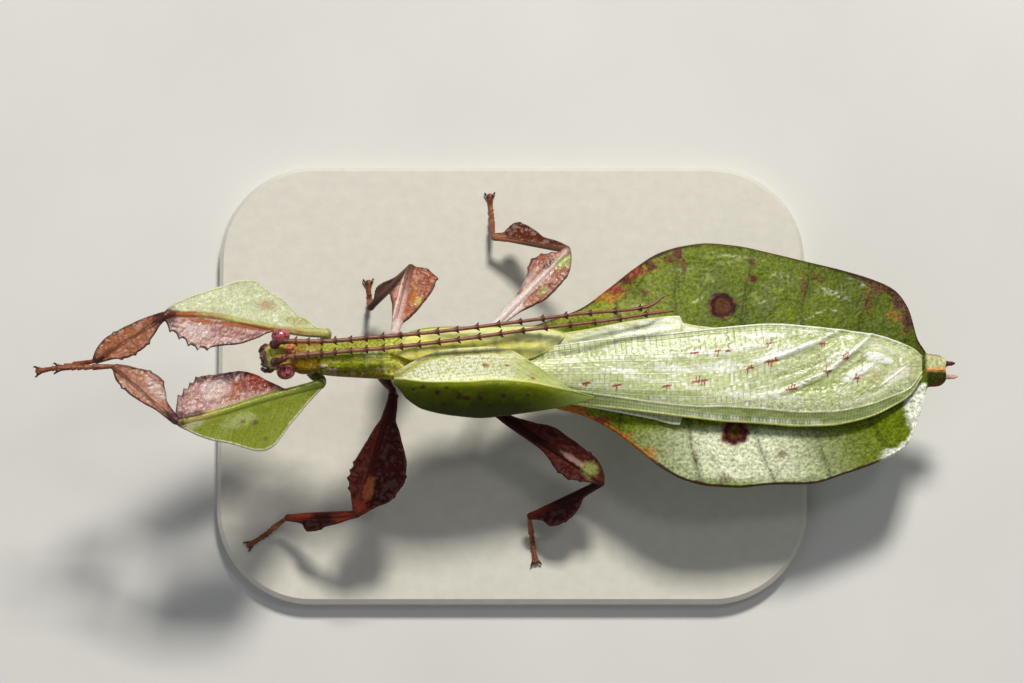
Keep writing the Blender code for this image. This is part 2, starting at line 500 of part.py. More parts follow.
# The legs. Joints are (x, y, height above the soles). Lobe edges are (distance from the limb's start, width),
# left and right as seen from above when looking along the limb. A shaft is (distance, offset to the left).
EDGE_HALF, TOOTH_HALF = 0.25, 0.14
TOOTH_BASE = 0.32
LEGS = {
    "fore_right": {
        "joints": [(-16.9, 2.4, 14.8), (-31.4, 3.2, 20.3), (-37.8, -0.9, 19.6), (-42.8, -1.7, 19.0)],
        "coxa": [(-18.5, 0.85, 14.6), (-18.2, 1.2, 14.1), (-17.2, 1.9, 13.9), (-16.3, 2.4, 14.1), (-16.4, 2.4, 14.6)],
        "femur": {
            "left": [(0, 0.4), (5.0, 0.4), (5.9, 0.7), (6.5, 1.1), (7.6, 1.6), (8.7, 2.0), (10.3, 2.3),
                     (11.5, 2.6), (12.6, 2.5), (13.5, 2.0), (14.7, 1.3), (15.4, 0.5)],
            "right": [(0, 0.35), (1.0, 0.5), (2.0, 1.0), (3.3, 1.7), (4.5, 2.7), (6.3, 3.6), (7.4, 4.2),
                      (8.7, 4.0), (10.3, 3.3), (12.5, 2.4), (14.6, 1.2), (15.4, 0.5)],
            "shaft": [(0, 0.0), (1.3, 0.1), (3.7, 0.2), (6.6, 0.0), (11.2, -0.4), (15.4, -0.1)],
            "radius": (0.4, 0.32),
            "teeth": {"left": [(11.3, 0.35), (12.2, 0.5), (13.1, 0.5), (14.0, 0.5), (14.9, 0.6)]},
        },
        "tibia": {
            "left": [(0, 0.35), (0.8, 0.5), (1.9, 1.0), (3.5, 1.5), (4.8, 1.4), (6.1, 0.8), (7.6, 0.3)],
            "right": [(0, 0.4), (1.9, 0.9), (4.0, 1.2), (5.6, 1.3), (6.7, 1.0), (7.6, 0.4)],
            "shaft": [(0, 0.0), (7.6, 0.0)],
            "radius": (0.32, 0.3),
            "teeth": {"left": [(2.6, 0.25), (4.2, 0.25), (5.5, 0.25)], "right": [(4.8, 0.2)]},
        },
    },
    "fore_left": {
        "joints": [(-17.4, -2.3, 15.3), (-30.3, -6.4, 19.4), (-35.9, -1.6, 21.0), (-40.8, -1.8, 21.2)],
        "coxa": [(-18.5, -0.85, 14.6), (-18.3, -1.2, 14.1), (-17.6, -1.9, 13.9), (-16.8, -2.4, 14.3),
                 (-16.9, -2.35, 14.9)],
        "femur": {
            "left": [(0, 0.4), (1.0, 1.0), (2.4, 1.9), (4.2, 3.1), (6.2, 4.5), (6.9, 4.7), (7.7, 4.5), (8.7, 4.0),
                     (9.9, 3.3), (11.5, 2.5), (12.7, 1.7), (14.1, 0.5)],
            "right": [(0, 0.4), (3.4, 0.4), (4.1, 0.9), (4.8, 1.5), (5.9, 2.5), (6.9, 3.0), (8.0, 3.2), (9.4, 3.3),
                      (10.6, 3.5), (11.6, 3.1), (12.6, 2.5), (13.5, 1.8), (14.1, 0.6)],
            "shaft": [(0, 0.0), (5.3, 0.0), (10.6, 0.2), (14.1, 0.1)],
            "radius": (0.4, 0.32),
            "teeth": {"right": [(11.2, 0.4), (11.9, 0.4), (12.6, 0.5), (13.3, 0.5)]},
        },
        "tibia": {
            "left": [(0, 0.4), (2.0, 0.5), (3.4, 0.8), (5.0, 1.0), (6.5, 0.9), (7.6, 0.3)],
            "right": [(0, 0.35), (1.9, 0.8), (2.6, 1.4), (3.8, 2.0), (4.9, 1.8), (5.9, 1.3), (6.7, 0.9), (7.6, 0.3)],
            "shaft": [(0, 0.0), (7.6, 0.0)],
            "radius": (0.32, 0.3),
            "teeth": {"right": [(3.3, 0.2), (4.9, 0.2)], "left": [(5.8, 0.2)]},
        },
    },
    "mid_right": {
        "joints": [(-10.9, 2.4, 13.0), (-9.4, 9.8, 8.1), (-13.5, 6.8, 2.5), (-13.7, 9.5, 0.4)],
        "coxa": [(-11.9, 0.95, 13.85), (-11.9, 1.1, 13.3), (-11.4, 1.6, 12.9), (-10.9, 2.2, 13.0)],
        "femur": {
            "left": [(0, 0.35), (1.5, 0.5), (3.8, 0.9), (5.3, 1.3), (6.1, 1.0), (7.4, 0.6), (9.0, 0.35)],
            "right": [(0, 0.35), (1.7, 0.5), (2.6, 1.0), (4.2, 1.7), (5.4, 2.1), (6.8, 2.5), (8.2, 2.6), (9.0, 1.6)],
            "shaft": [(0, 0.0), (9.0, 0.0)],
            "radius": (0.38, 0.3),
            "teeth": {"right": [(8.2, 0.2)], "left": [(5.3, 0.25), (6.6, 0.2)]},
        },
        "tibia": {
            "left": [(0, 0.35), (7.6, 0.3)],
            "right": [(0, 0.35), (2.1, 0.4), (3.2, 0.6), (4.3, 0.9), (5.1, 1.0), (5.7, 0.8), (6.4, 0.4), (7.6, 0.3)],
            "shaft": [(0, 0.0), (7.6, 0.0)],
            "radius": (0.3, 0.28),
            "teeth": {},
        },
    },
    "mid_left": {
        "joints": [(-10.9, -3.0, 13.0), (-14.3, -13.5, 8.1), (-21.2, -13.2, 2.5), (-24.7, -15.4, 0.4)],
        "coxa": [(-11.9, -0.95, 13.85), (-11.9, -1.1, 13.3), (-11.5, -1.9, 12.9), (-11.0, -2.75, 13.0)],
        "femur": {
            "left": [(0, 0.4), (1.2, 0.7), (2.3, 0.9), (3.2, 1.5), (4.6, 2.3), (5.7, 2.9), (6.8, 3.2), (7.6, 3.3),
                     (8.8, 3.0), (9.8, 2.6), (11.0, 1.3), (12.0, 0.4)],
            "right": [(0, 0.4), (2.5, 0.5), (3.5, 0.8), (5.1, 1.2), (7.3, 1.7), (8.8, 1.8), (9.9, 1.4), (10.8, 1.0),
                      (12.0, 0.5)],
            "shaft": [(0, 0.0), (12.0, 0.0)],
            "radius": (0.42, 0.32),
            "teeth": {"right": [(7.4, 0.25), (8.2, 0.25), (9.0, 0.25), (9.9, 0.3)], "left": [(7.2, 0.2), (9.4, 0.2)]},
        },
        "tibia": {
            "left": [(0, 0.35), (1.0, 0.5), (2.4, 0.8), (4.3, 1.1), (5.4, 1.4), (6.3, 1.4), (6.9, 0.7), (8.9, 0.3)],
            "right": [(0, 0.35), (6.1, 0.4), (8.9, 0.3)],
            "shaft": [(0, 0.0), (8.9, 0.0)],
            "radius": (0.3, 0.28),
            "teeth": {"left": [(4.6, 0.15)]},
        },
    },
    "hind_right": {
        "joints": [(-1.9, 3.6, 10.3), (5.3, 11.6, 7.0), (-1.8, 13.8, 2.3), (-2.1, 17.9, 0.4)],
        "coxa": [(-2.6, 1.2, 11.0), (-2.6, 1.5, 10.5), (-2.5, 2.3, 10.1), (-2.1, 3.3, 10.25)],
        "femur": {
            "left": [(0, 0.35), (2.2, 0.5), (4.5, 0.6), (5.6, 0.9), (6.5, 1.2), (7.0, 1.5), (7.8, 1.8), (8.5, 1.7),
                     (9.5, 1.2), (10.3, 0.6), (11.2, 0.35)],
            "right": [(0, 0.35), (1.5, 0.6), (3.2, 0.9), (4.7, 1.4), (6.3, 1.8), (7.6, 1.8), (9.0, 1.7), (10.2, 1.2),
                      (11.2, 0.4)],
            "shaft": [(0, 0.0), (11.2, 0.0)],
            "radius": (0.38, 0.3),
            "teeth": {"left": [(7.1, 0.2), (8.0, 0.2), (9.0, 0.25), (9.9, 0.25)]},
        },
        "tibia": {
            "left": [(0, 0.35), (8.8, 0.3)],
            "right": [(0, 0.35), (1.7, 0.7), (3.0, 0.8), (4.3, 1.3), (5.6, 1.7), (6.5, 1.8), (7.2, 1.4), (7.6, 0.6),
                      (8.8, 0.3)],
            "shaft": [(0, 0.0), (3.8, 0.0), (8.8, 0.1)],
            "radius": (0.3, 0.28),
            "teeth": {"right": [(6.3, 0.15)]},
        },
    },
    "hind_left": {
        "joints": [(-1.6, -4.2, 10.3), (8.4, -10.4, 7.0), (1.6, -13.1, 2.5), (2.2, -16.9, 0.4)],
        "coxa": [(-2.6, -1.2, 11.0), (-2.6, -1.5, 10.5), (-2.5, -2.6, 10.1), (-1.9, -3.95, 10.25)],
        "femur": {
            "left": [(0, 0.35), (1.7, 0.6), (3.6, 1.2), (5.9, 1.9), (7.8, 1.8), (9.7, 1.7), (10.4, 1.6), (11.2, 1.2),
                     (12.0, 0.5)],
            "right": [(0, 0.35), (1.5, 0.5), (5.3, 0.6), (6.8, 1.0), (7.7, 1.4), (8.9, 1.5), (10.0, 1.1), (11.2, 0.6),
                      (12.0, 0.35)],
            "shaft": [(0, 0.0), (12.0, 0.0)],
            "radius": (0.38, 0.3),
            "teeth": {"right": [(8.0, 0.2), (9.2, 0.2), (10.2, 0.2)], "left": [(9.6, 0.2)]},
        },
        "tibia": {
            "left": [(0, 0.35), (2.4, 0.6), (3.2, 1.2), (4.2, 1.7), (5.9, 1.9), (6.9, 1.7), (7.4, 0.9), (8.6, 0.3)],
            "right": [(0, 0.35), (8.6, 0.3)],
            "shaft": [(0, 0.0), (8.6, 0.0)],
            "radius": (0.3, 0.28),
            "teeth": {"left": [(5.2, 0.15)]},
        },
    },
}
CLAW_LENGTH, CLAW_SPREAD = 0.85, 0.55
TARSUS_RADII = [0.28, 0.24, 0.3, 0.22, 0.3, 0.22, 0.3, 0.24, 0.27, 0.36, 0.3]


def lifted(point):
    return np.array([point[0], point[1], point[2] + GROUND])


def inset(before, after, radius):
    """How far a limb stops short of a joint, so that its end keeps the gap to the next limb's end."""
    bend = math.acos(float(np.clip(np.dot(unit(before), unit(after)), -1, 1)))
    return GAP / 2 + 1.4 * radius * math.tan(min(bend, math.radians(125)) / 2)


def edge_at(knots, teeth, distance, scale):
    reach = smooth([(at * scale, width) for at, width in knots], distance)
    for at, height in teeth:
        if abs(distance - at * scale) < 1e-6:
            reach = reach + height
    return float(reach)


def leafy_limb(name, start, end, spec, insets, finish_name):
    """A limb with a round shaft and a flat, toothed lobe on each side."""
    axis = unit(end - start)
    length = float(np.linalg.norm(end - start))
    up = unit(np.array([0.0, 0.0, 1.0]) - axis[2] * axis)
    side = np.cross(up, axis)
    scale = length / spec["left"][-1][0]
    teeth = {key: spec["teeth"].get(key, []) for key in ("left", "right")}
    stations = {insets[0], length - insets[1]}
    for key in ("left", "right"):
        for at, _ in spec[key]:
            stations.add(round(at * scale, 3))
    tips = [at * scale for key in teeth for at, _ in teeth[key]]
    for tip in tips:
        stations = {s for s in stations if abs(s - tip) > TOOTH_BASE}
        stations |= {tip - TOOTH_BASE, tip, tip + TOOTH_BASE}
    stations = sorted(s for s in stations if insets[0] <= s <= length - insets[1])
    spaced = [stations[0]]
    for s in stations[1:-1]:
        if (s - spaced[-1] > 0.12 and stations[-1] - s > 0.12) or s in tips:
            spaced.append(s)
    spaced.append(stations[-1])
    rings = []
    for s in spaced:
        radius = float(np.interp(s / length, [0, 1], spec["radius"]))
        offset = float(smooth([(at * scale, shift) for at, shift in spec["shaft"]], s))
        left = max(edge_at(spec["left"], teeth["left"], s, scale), offset + radius + 0.04)
        right = max(edge_at(spec["right"], teeth["right"], s, scale), radius - offset + 0.04)
        on_tip = any(abs(s - tip) < 1e-6 for tip in tips)
        half = TOOTH_HALF if on_tip else EDGE_HALF
        shoulder = max(0.62 * radius, EDGE_HALF)
        crown = radius + 0.08
        outline = [
            (left, half), (offset + radius, shoulder), (offset, crown), (offset - radius, shoulder), (-right, half),
            (-right, -half), (offset - radius, -shoulder), (offset, -crown), (offset + radius, -shoulder),
            (left, -half),
        ]
        rings.append([start + axis * s + side * w + up * h for w, h in outline])
    add_solid(name, loft(rings), finish_name)


def build_tarsus(name, ankle, tip, before, on_ground):
    """A jointed foot that ends in a pad and two curved claws."""
    direction = unit(tip - ankle)
    floor = GROUND if on_ground else None
    flat_way = unit(direction * [1, 1, 0]) if on_ground else direction
    start = ankle + direction * inset(before, direction, 0.28)
    if on_ground:
        pad = np.array([tip[0], tip[1], GROUND + 0.28])
        sole = pad - flat_way * 1.3
        route = [start, (start + sole) / 2 + [0, 0, 0.1], sole, pad]
    else:
        route = [start, (start + tip) / 2, tip]
    path = curve_through(route, len(TARSUS_RADII))
    foot = add_solid(name, tube(path, TARSUS_RADII, sides=8, floor=floor), "red_brown")
    claws = []
    across = unit(np.cross(flat_way, [0.0, 0.0, 1.0]))
    for turn in (1, -1):
        root = path[-1] - flat_way * 0.3 + across * turn * 0.12
        knuckle = path[-1] + flat_way * 0.25 + across * turn * CLAW_SPREAD * 0.6 + [0, 0, 0.12]
        point = path[-1] + flat_way * CLAW_LENGTH * 0.7 + across * turn * CLAW_SPREAD
        claw_path = curve_through([root, knuckle, point], 5)
        claws.append(add_solid("claw", tube(claw_path, [0.14, 0.15, 0.13, 0.1, 0.05], sides=5, floor=floor),
                               "red_brown"))
    combine(foot, claws, "UNION")


def build_legs():
    for leg, spec in LEGS.items():
        hip, knee, ankle, tip = (lifted(joint) for joint in spec["joints"])
        thigh, shin, foot = knee - hip, ankle - knee, tip - ankle
        route = curve_through([lifted(point) for point in spec["coxa"]], 8)
        add_solid("coxa_" + leg, tube(route, np.linspace(0.5, 0.36, 8), sides=8), "red_brown")
        fore = leg.startswith("fore")
        thigh_finish = "pale_green" if fore else "pink_brown"
        shaft = spec["femur"]["radius"][1]
        knee_gap = inset(thigh, shin, shaft)
        hip_gap = GAP if not fore else 0.1
        leafy_limb("femur_" + leg, hip, knee, spec["femur"], (hip_gap, knee_gap), thigh_finish)
        ankle_gap = inset(shin, foot, spec["tibia"]["radius"][1])
        leafy_limb("tibia_" + leg, knee, ankle, spec["tibia"], (knee_gap, ankle_gap), "red_brown")
        build_tarsus("tarsus_" + leg, ankle, tip, shin, not fore)


def build_base():
    """A flat plate with rounded corners and a small chamfer round its upper edge."""
    half_length, half_width = BASE_LENGTH / 2 - BASE_CORNER, BASE_WIDTH / 2 - BASE_CORNER
    corners = [(half_length, half_width, 0), (-half_length, half_width, 90)]
    corners += [(-half_length, -half_width, 180), (half_length, -half_width, 270)]
    rings = []
    for shrink, z in ((0.0, 0.0), (0.0, BASE_THICKNESS - BASE_CHAMFER), (BASE_CHAMFER, BASE_THICKNESS)):
        ring = []
        for x, y, first in corners:
            radius = BASE_CORNER - shrink
            for k in range(BASE_CORNER_STEPS + 1):
                turn = math.radians(first + 90 * k / BASE_CORNER_STEPS)
                ring.append((x + radius * math.cos(turn), y + radius * math.sin(turn), z))
        rings.append(ring)
    add_solid("stand_base", loft(rings), "base_ivory")


def main():
    for old in list(bpy.data.objects):
        bpy.data.objects.remove(old)
    build_base()
    build_head()
    build_antennae()
    build_thorax()
    build_abdomen()
    build_wings()
    build_legs()


main()
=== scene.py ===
"""The looks of a life-size model of a male leaf insect, standing on a plain flat base.

Shapes are worked out in millimetres and turned into metres when a mesh is made. The head points along -X
and the insect's right side is +Y. The thorax, the wings and the abdomen are laid out in the body frame, whose
X runs back along the insect and dips towards the tail.
"""

import itertools
import math

import bpy
import numpy as np
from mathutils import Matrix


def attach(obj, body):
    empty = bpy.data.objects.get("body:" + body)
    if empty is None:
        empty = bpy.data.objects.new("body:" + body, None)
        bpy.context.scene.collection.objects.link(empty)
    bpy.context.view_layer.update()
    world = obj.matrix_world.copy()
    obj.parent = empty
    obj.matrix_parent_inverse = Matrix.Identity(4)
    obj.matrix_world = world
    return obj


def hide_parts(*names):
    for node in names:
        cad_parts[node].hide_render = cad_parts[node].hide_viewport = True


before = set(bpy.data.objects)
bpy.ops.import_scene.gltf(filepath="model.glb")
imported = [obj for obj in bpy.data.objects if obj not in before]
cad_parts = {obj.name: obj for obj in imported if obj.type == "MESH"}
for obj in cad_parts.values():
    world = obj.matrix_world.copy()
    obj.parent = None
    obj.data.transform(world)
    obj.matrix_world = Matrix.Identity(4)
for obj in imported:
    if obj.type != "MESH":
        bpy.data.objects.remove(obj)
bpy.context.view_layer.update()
MM = 0.001
FAR_AWAY = 9.0  # where a search for the nearest of something starts

# The body frame
GROUND = 2.3  # level of the solids' soles
FLOOR_OF_FEET = 2.02  # the base's upper face, where the finished feet rest
BODY_HEIGHT = 14.4
BODY_DIP = math.radians(8.0)
BODY_ORIGIN = np.array([0.0, 0.0, GROUND + BODY_HEIGHT])
BODY_X = np.array([math.cos(BODY_DIP), 0.0, -math.sin(BODY_DIP)])
BODY_Y = np.array([0.0, 1.0, 0.0])
BODY_Z = np.array([math.sin(BODY_DIP), 0.0, math.cos(BODY_DIP)])

# The back: how deep its middle lies along x, how wide it is flat, and how steeply its two sides fall
BACK_LEVEL = [(-21, 0.0), (-11, 0.0), (-8, -0.6), (-3, -1.5), (5, -1.5), (10, -1.0), (20, -0.6), (42, -0.4)]
BACK_FLAT = [(-21, 2.0), (4, 2.0), (10, 2.6), (20, 4.0), (42, 4.0)]
LEFT_FALL = [(-21, 0.3), (-11, 0.9), (4, 0.95), (9, 0.4), (16, 0.2), (42, 0.15)]
RIGHT_FALL = [(-21, 0.3), (-11, 0.9), (-6, 1.5), (3, 1.4), (9, 0.4), (16, 0.2), (42, 0.15)]
FALL_ROUNDING = 0.6


def smooth(knots, x):
    """A curve through (x, value) knots that never overshoots them, read at x, and level past its ends."""
    kx, ky = np.array(knots, float).T
    step = np.diff(kx)
    slope = np.diff(ky) / step
    tangent = np.zeros(len(kx))
    tangent[0], tangent[-1] = slope[0], slope[-1]
    for k in range(1, len(kx) - 1):
        if slope[k - 1] * slope[k] > 0:
            before, after = 2 * step[k] + step[k - 1], step[k] + 2 * step[k - 1]
            tangent[k] = (before + after) / (before / slope[k - 1] + after / slope[k])
    x = np.clip(np.asarray(x, float), kx[0], kx[-1])
    k = np.clip(np.searchsorted(kx, x) - 1, 0, len(step) - 1)
    t = (x - kx[k]) / step[k]
    rise = (3 - 2 * t) * t * t
    leave, arrive = t * (1 - t) ** 2, t * t * (t - 1)
    return ky[k] + (ky[k + 1] - ky[k]) * rise + step[k] * (tangent[k] * leave + tangent[k + 1] * arrive)


def run_along(points):
    """How far along their line each of some points lies."""
    return np.concatenate([[0], np.cumsum(np.linalg.norm(np.diff(points, axis=0), axis=1))])


def curve_through(points, count):
    """A number of points, evenly spaced, on a smooth curve through the given ones."""
    points = np.array(points, float)
    along = run_along(points)
    fine = np.linspace(0, along[-1], 20 * count)
    path = np.stack([smooth(list(zip(along, points[:, axis])), fine) for axis in range(3)], axis=1)
    run = run_along(path)
    even = np.linspace(0, run[-1], count)
    return np.stack([np.interp(even, run, path[:, axis]) for axis in range(3)], axis=1)


def unit(vector):
    return np.asarray(vector, float) / np.linalg.norm(vector)


def ease(x, start, end):
    """0 before start, 1 after end, and smooth between them."""
    t = np.clip((np.asarray(x, float) - start) / (end - start), 0, 1)
    return t * t * (3 - 2 * t)


def fade(x, start, end):
    """1 before start, 0 after end, and smooth between them."""
    return 1 - ease(x, start, end)


def bump(distance, width):
    """A soft hump, 1 at no distance."""
    return np.exp(-((distance / width) ** 2))


def hashed(*keys):
    """A repeatable random value from 0 to 1 for each set of whole numbers."""
    total = np.zeros(np.broadcast(*keys).shape, np.int64)
    for key, factor in zip(keys, (73856093, 19349663, 83492791, 49979687)):
        total = total ^ (np.asarray(key).astype(np.int64) * factor)
    total = (total ^ (total >> 13)) * 1274126177
    total = (total ^ (total >> 16)) * 961748927
    return ((total ^ (total >> 15)) & 0xFFFF) / 65535.0


def noise(points, size, seed=0):
    """Smooth random values from about -1 to 1, with features of the given size."""
    at = np.asarray(points, float) / size
    cell = np.floor(at).astype(np.int64)
    t = at - cell
    t = t * t * (3 - 2 * t)
    total = np.zeros(at.shape[:-1])
    for corner in itertools.product((0, 1), repeat=at.shape[-1]):
        weight = np.prod(np.where(np.array(corner) == 1, t, 1 - t), axis=-1)
        keys = [cell[..., axis] + corner[axis] for axis in range(at.shape[-1])]
        total += weight * (2 * hashed(seed, *keys) - 1)
    return total


def layered(points, size, seed=0, layers=3):
    """Noise of several sizes, each half the one before."""
    total = 0
    for k in range(layers):
        total += noise(points, size / 2**k, seed + 17 * k) / 2**k
    return total / 1.6


def grains(x, y, size, seed):
    """Uneven rounded grains, from 1 at the middle of each to 0 between them."""
    nearest = np.full(np.shape(x), FAR_AWAY)
    u, v = x / size, y / size
    for du in (-1, 0, 1):
        for dv in (-1, 0, 1):
            cu, cv = np.floor(u) + du, np.floor(v) + dv
            pu = cu + 0.2 + 0.6 * hashed(cu, cv, seed)
            pv = cv + 0.2 + 0.6 * hashed(cu, cv, seed + 1)
            nearest = np.minimum(nearest, np.hypot(u - pu, v - pv))
    return fade(nearest, 0.25, 0.7)


def colour_of(colour):
    """A colour given by its name, as a single one, or as one for each point."""
    return COLOURS[colour] if isinstance(colour, str) else np.asarray(colour, float)


def mix(one, other, share):
    """Blends two colours."""
    share = np.clip(np.asarray(share, float), 0, 1)[..., None]
    return colour_of(one) * (1 - share) + colour_of(other) * share


def coated(colours, *coats):
    """The colours under coats of paint, each a colour and how much of what is below it hides."""
    for colour, share in coats:
        colours = mix(colours, colour, share)
    return colours


def blotted(colours, x, y, blots, ragged, start, end):
    """The colours with blots on them, each an x, y, size along and across, colour and strength."""
    for cx, cy, along, across, colour, strength in blots:
        away = np.hypot((x - cx) / along, (y - cy) / across) + ragged
        colours = mix(colours, colour, strength * fade(away, start, end))
    return colours


def plan(x, y):
    """The two coordinates of each point side by side, as noise takes them."""
    return np.stack([x, y], axis=-1)


def off_grid(value, spacing):
    """Distance to the nearest whole multiple of the spacing."""
    return np.abs(value / spacing - np.round(value / spacing)) * spacing


def round_edge(edge, radius):
    """How thick a sheet is near its edge, from 0 at the edge to 1 a radius further in."""
    return np.sqrt(1 - (1 - np.clip(edge / radius, 0, 1)) ** 2)


def on_body(x, y, z):
    """A point of the body frame in the model's own frame. It takes numbers or arrays."""
    x, y, z = np.broadcast_arrays(x, y, z)
    return BODY_ORIGIN + x[..., None] * BODY_X + y[..., None] * BODY_Y + z[..., None] * BODY_Z


def in_body(points):
    """Model points in the body frame, as x, y and z arrays."""
    away = points - BODY_ORIGIN
    return away @ BODY_X, away @ BODY_Y, away @ BODY_Z


def back(x, y):
    """Height of the back in the body frame: level in the middle, falling away on each side."""
    x, y = np.asarray(x, float), np.asarray(y, float)
    past = np.abs(y) - smooth(BACK_FLAT, x)
    fall = np.where(y < 0, smooth(LEFT_FALL, x), smooth(RIGHT_FALL, x))
    return smooth(BACK_LEVEL, x) - fall * (past + np.sqrt(past * past + FALL_ROUNDING**2)) / 2


def above_back(x, y, distance):
    """Height of a surface that keeps its distance, square to it, from the back."""
    reach = 0.05
    slope = (back(x, np.asarray(y) + reach) - back(x, np.asarray(y) - reach)) / (2 * reach)
    return back(x, y) + distance * np.sqrt(1 + slope * slope)


# Making meshes


def loft(rings):
    """A closed skin of triangles over rings of equally many points, with a fan over each end."""
    rings = np.asarray(rings, float)
    count, around = rings.shape[:2]
    points = np.concatenate([rings.reshape(-1, 3), rings[:1].mean(axis=1), rings[-1:].mean(axis=1)])
    i, j = np.meshgrid(np.arange(count - 1), np.arange(around), indexing="ij")
    a, b = i * around + j, i * around + (j + 1) % around
    c, d = a + around, b + around
    sides = np.stack([np.stack([a, b, d], axis=-1), np.stack([a, d, c], axis=-1)], axis=2).reshape(-1, 3)
    j = np.arange(around)
    k = (j + 1) % around
    last = (count - 1) * around
    first_fan = np.stack([k, j, 0 * j + count * around], axis=1)
    last_fan = np.stack([last + j, last + k, 0 * j + count * around + 1], axis=1)
    return points, np.concatenate([sides, first_fan, last_fan])


def outward(points, faces):
    """The faces turned so that the closed surface faces out."""
    corners = points[faces]
    volume = np.einsum("ij,ij->i", corners[:, 0], np.cross(corners[:, 1], corners[:, 2])).sum()
    return faces if volume > 0 else faces[:, ::-1]


def sheet(top, under):
    """A closed sheet between two grids of points."""
    rings = np.concatenate([top, under[:, -2:0:-1]], axis=1)
    return loft(rings)


def mesh_of(name, points, faces):
    mesh = bpy.data.meshes.new(name)
    mesh.vertices.add(len(points))
    mesh.vertices.foreach_set("co", (points * MM).astype(np.float32).ravel())
    mesh.loops.add(faces.size)
    mesh.loops.foreach_set("vertex_index", faces.astype(np.int32).ravel())
    mesh.polygons.add(len(faces))
    mesh.polygons.foreach_set("loop_start", np.arange(0, faces.size, 3, dtype=np.int32))
    mesh.update(calc_edges=True)
    mesh.validate()
    mesh.shade_smooth()
    return mesh


def add_object(name, data):
    made = bpy.data.objects.new(name, data)
    bpy.context.scene.collection.objects.link(made)
    return made


def add_piece(name, shape, material=None):
    points, faces = shape
    mesh = mesh_of(name, points, outward(points, faces))
    if material:
        mesh.materials.append(material)
    return add_object(name, mesh)


def joined(shapes):
    """Several shapes as one set of points and faces, each turned outwards."""
    points, faces, start = [], [], 0
    for some_points, some_faces in shapes:
        points.append(some_points)
        faces.append(outward(some_points, some_faces) + start)
        start += len(some_points)
    return np.concatenate(points), np.concatenate(faces)


def tube(path, radii, sides=12, floor=None):
    """A round tube along a path. With a floor, whatever would reach below it is flattened onto it."""
    path = np.array(path, float)
    ahead = np.gradient(path, axis=0)
    across = np.cross(ahead[0], [0.0, 0.0, 1.0])
    if np.linalg.norm(across) < 1e-6:
        across = np.array([0.0, 1.0, 0.0])
    rings = []
    turn = np.arange(sides) * 2 * math.pi / sides
    for point, direction, radius in zip(path, ahead, radii):
        direction = unit(direction)
        across = unit(across - np.dot(across, direction) * direction)
        up = np.cross(direction, across)
        ring = point + radius * (np.cos(turn)[:, None] * across + np.sin(turn)[:, None] * up)
        if floor is not None:
            ring[:, 2] = np.maximum(ring[:, 2], floor)
        rings.append(ring)
    return loft(rings)


def ball(centre, radii, axes=None, rows=24, around=36):
    """An ellipsoid as rings, with its poles along its third axis."""
    axes = np.eye(3) if axes is None else np.array(axes)
    down = (np.arange(rows) + 0.5) * math.pi / rows
    turn = np.arange(around) * 2 * math.pi / around
    local = np.stack([
        radii[0] * np.sin(down)[:, None] * np.cos(turn),
        radii[1] * np.sin(down)[:, None] * np.sin(turn),
        radii[2] * np.cos(down)[:, None] * np.ones(around),
    ], axis=-1)
    return loft(np.array(centre) + local @ axes)


def set_colours(mesh, colours, gloss, domain="POINT"):
    """Stores a colour and a roughness for each point, or each face's corner."""
    tint = mesh.attributes.new("tint", "FLOAT_COLOR", domain)
    rgba = np.concatenate([np.clip(colours, 0, 1), np.ones((len(colours), 1))], axis=1)
    tint.data.foreach_set("color", rgba.astype(np.float32).ravel())
    rough = mesh.attributes.new("gloss", "FLOAT", domain)
    rough.data.foreach_set("value", np.broadcast_to(gloss, len(colours)).astype(np.float32))


def painted(name, shape, material, painter, *facts):
    """A new piece whose colours and gloss come from a painter that is told its points and some facts."""
    piece = add_piece(name, shape, material)
    set_colours(piece.data, *painter(points_of(piece.data), *facts))
    return piece


def points_of(mesh):
    flat = np.empty(len(mesh.vertices) * 3, np.float32)
    mesh.vertices.foreach_get("co", flat)
    return flat.reshape(-1, 3).astype(float) / MM


# Materials


FINE_SHADE = (0.82, 1.18)  # how far the coarse grain darkens and lightens
CELL_SPAN, NOISE_SPAN = (0.0, 0.8), (0.3, 0.7)  # the part of each texture's range that the speckle uses
WEAR = 0.2  # how much rougher the coarse grain makes its high parts
COAT_ROUGHNESS = 0.25
GLOW_REACH = (0.6, 1.0, 0.3)


def new_material(name):
    """A new material, its node tree and its shader."""
    made = bpy.data.materials.new(name)
    made.use_nodes = True
    return made, made.node_tree, made.node_tree.nodes["Principled BSDF"]


def add_node(tree, kind, **values):
    """A new node, with some of its inputs set."""
    made = tree.nodes.new("ShaderNode" + kind)
    for key, value in values.items():
        made.inputs[key.replace("_", " ")].default_value = value
    return made


def math_node(tree, operation, *inputs):
    """The result of a sum on values and other nodes' outputs."""
    made = add_node(tree, "Math")
    made.operation = operation
    for socket, given in zip(made.inputs, inputs):
        if isinstance(given, float):
            socket.default_value = given
        else:
            tree.links.new(given, socket)
    return made.outputs["Value"]


def from_mesh(tree, name):
    """A node that reads a value that the mesh carries."""
    made = add_node(tree, "Attribute")
    made.attribute_name = name
    return made


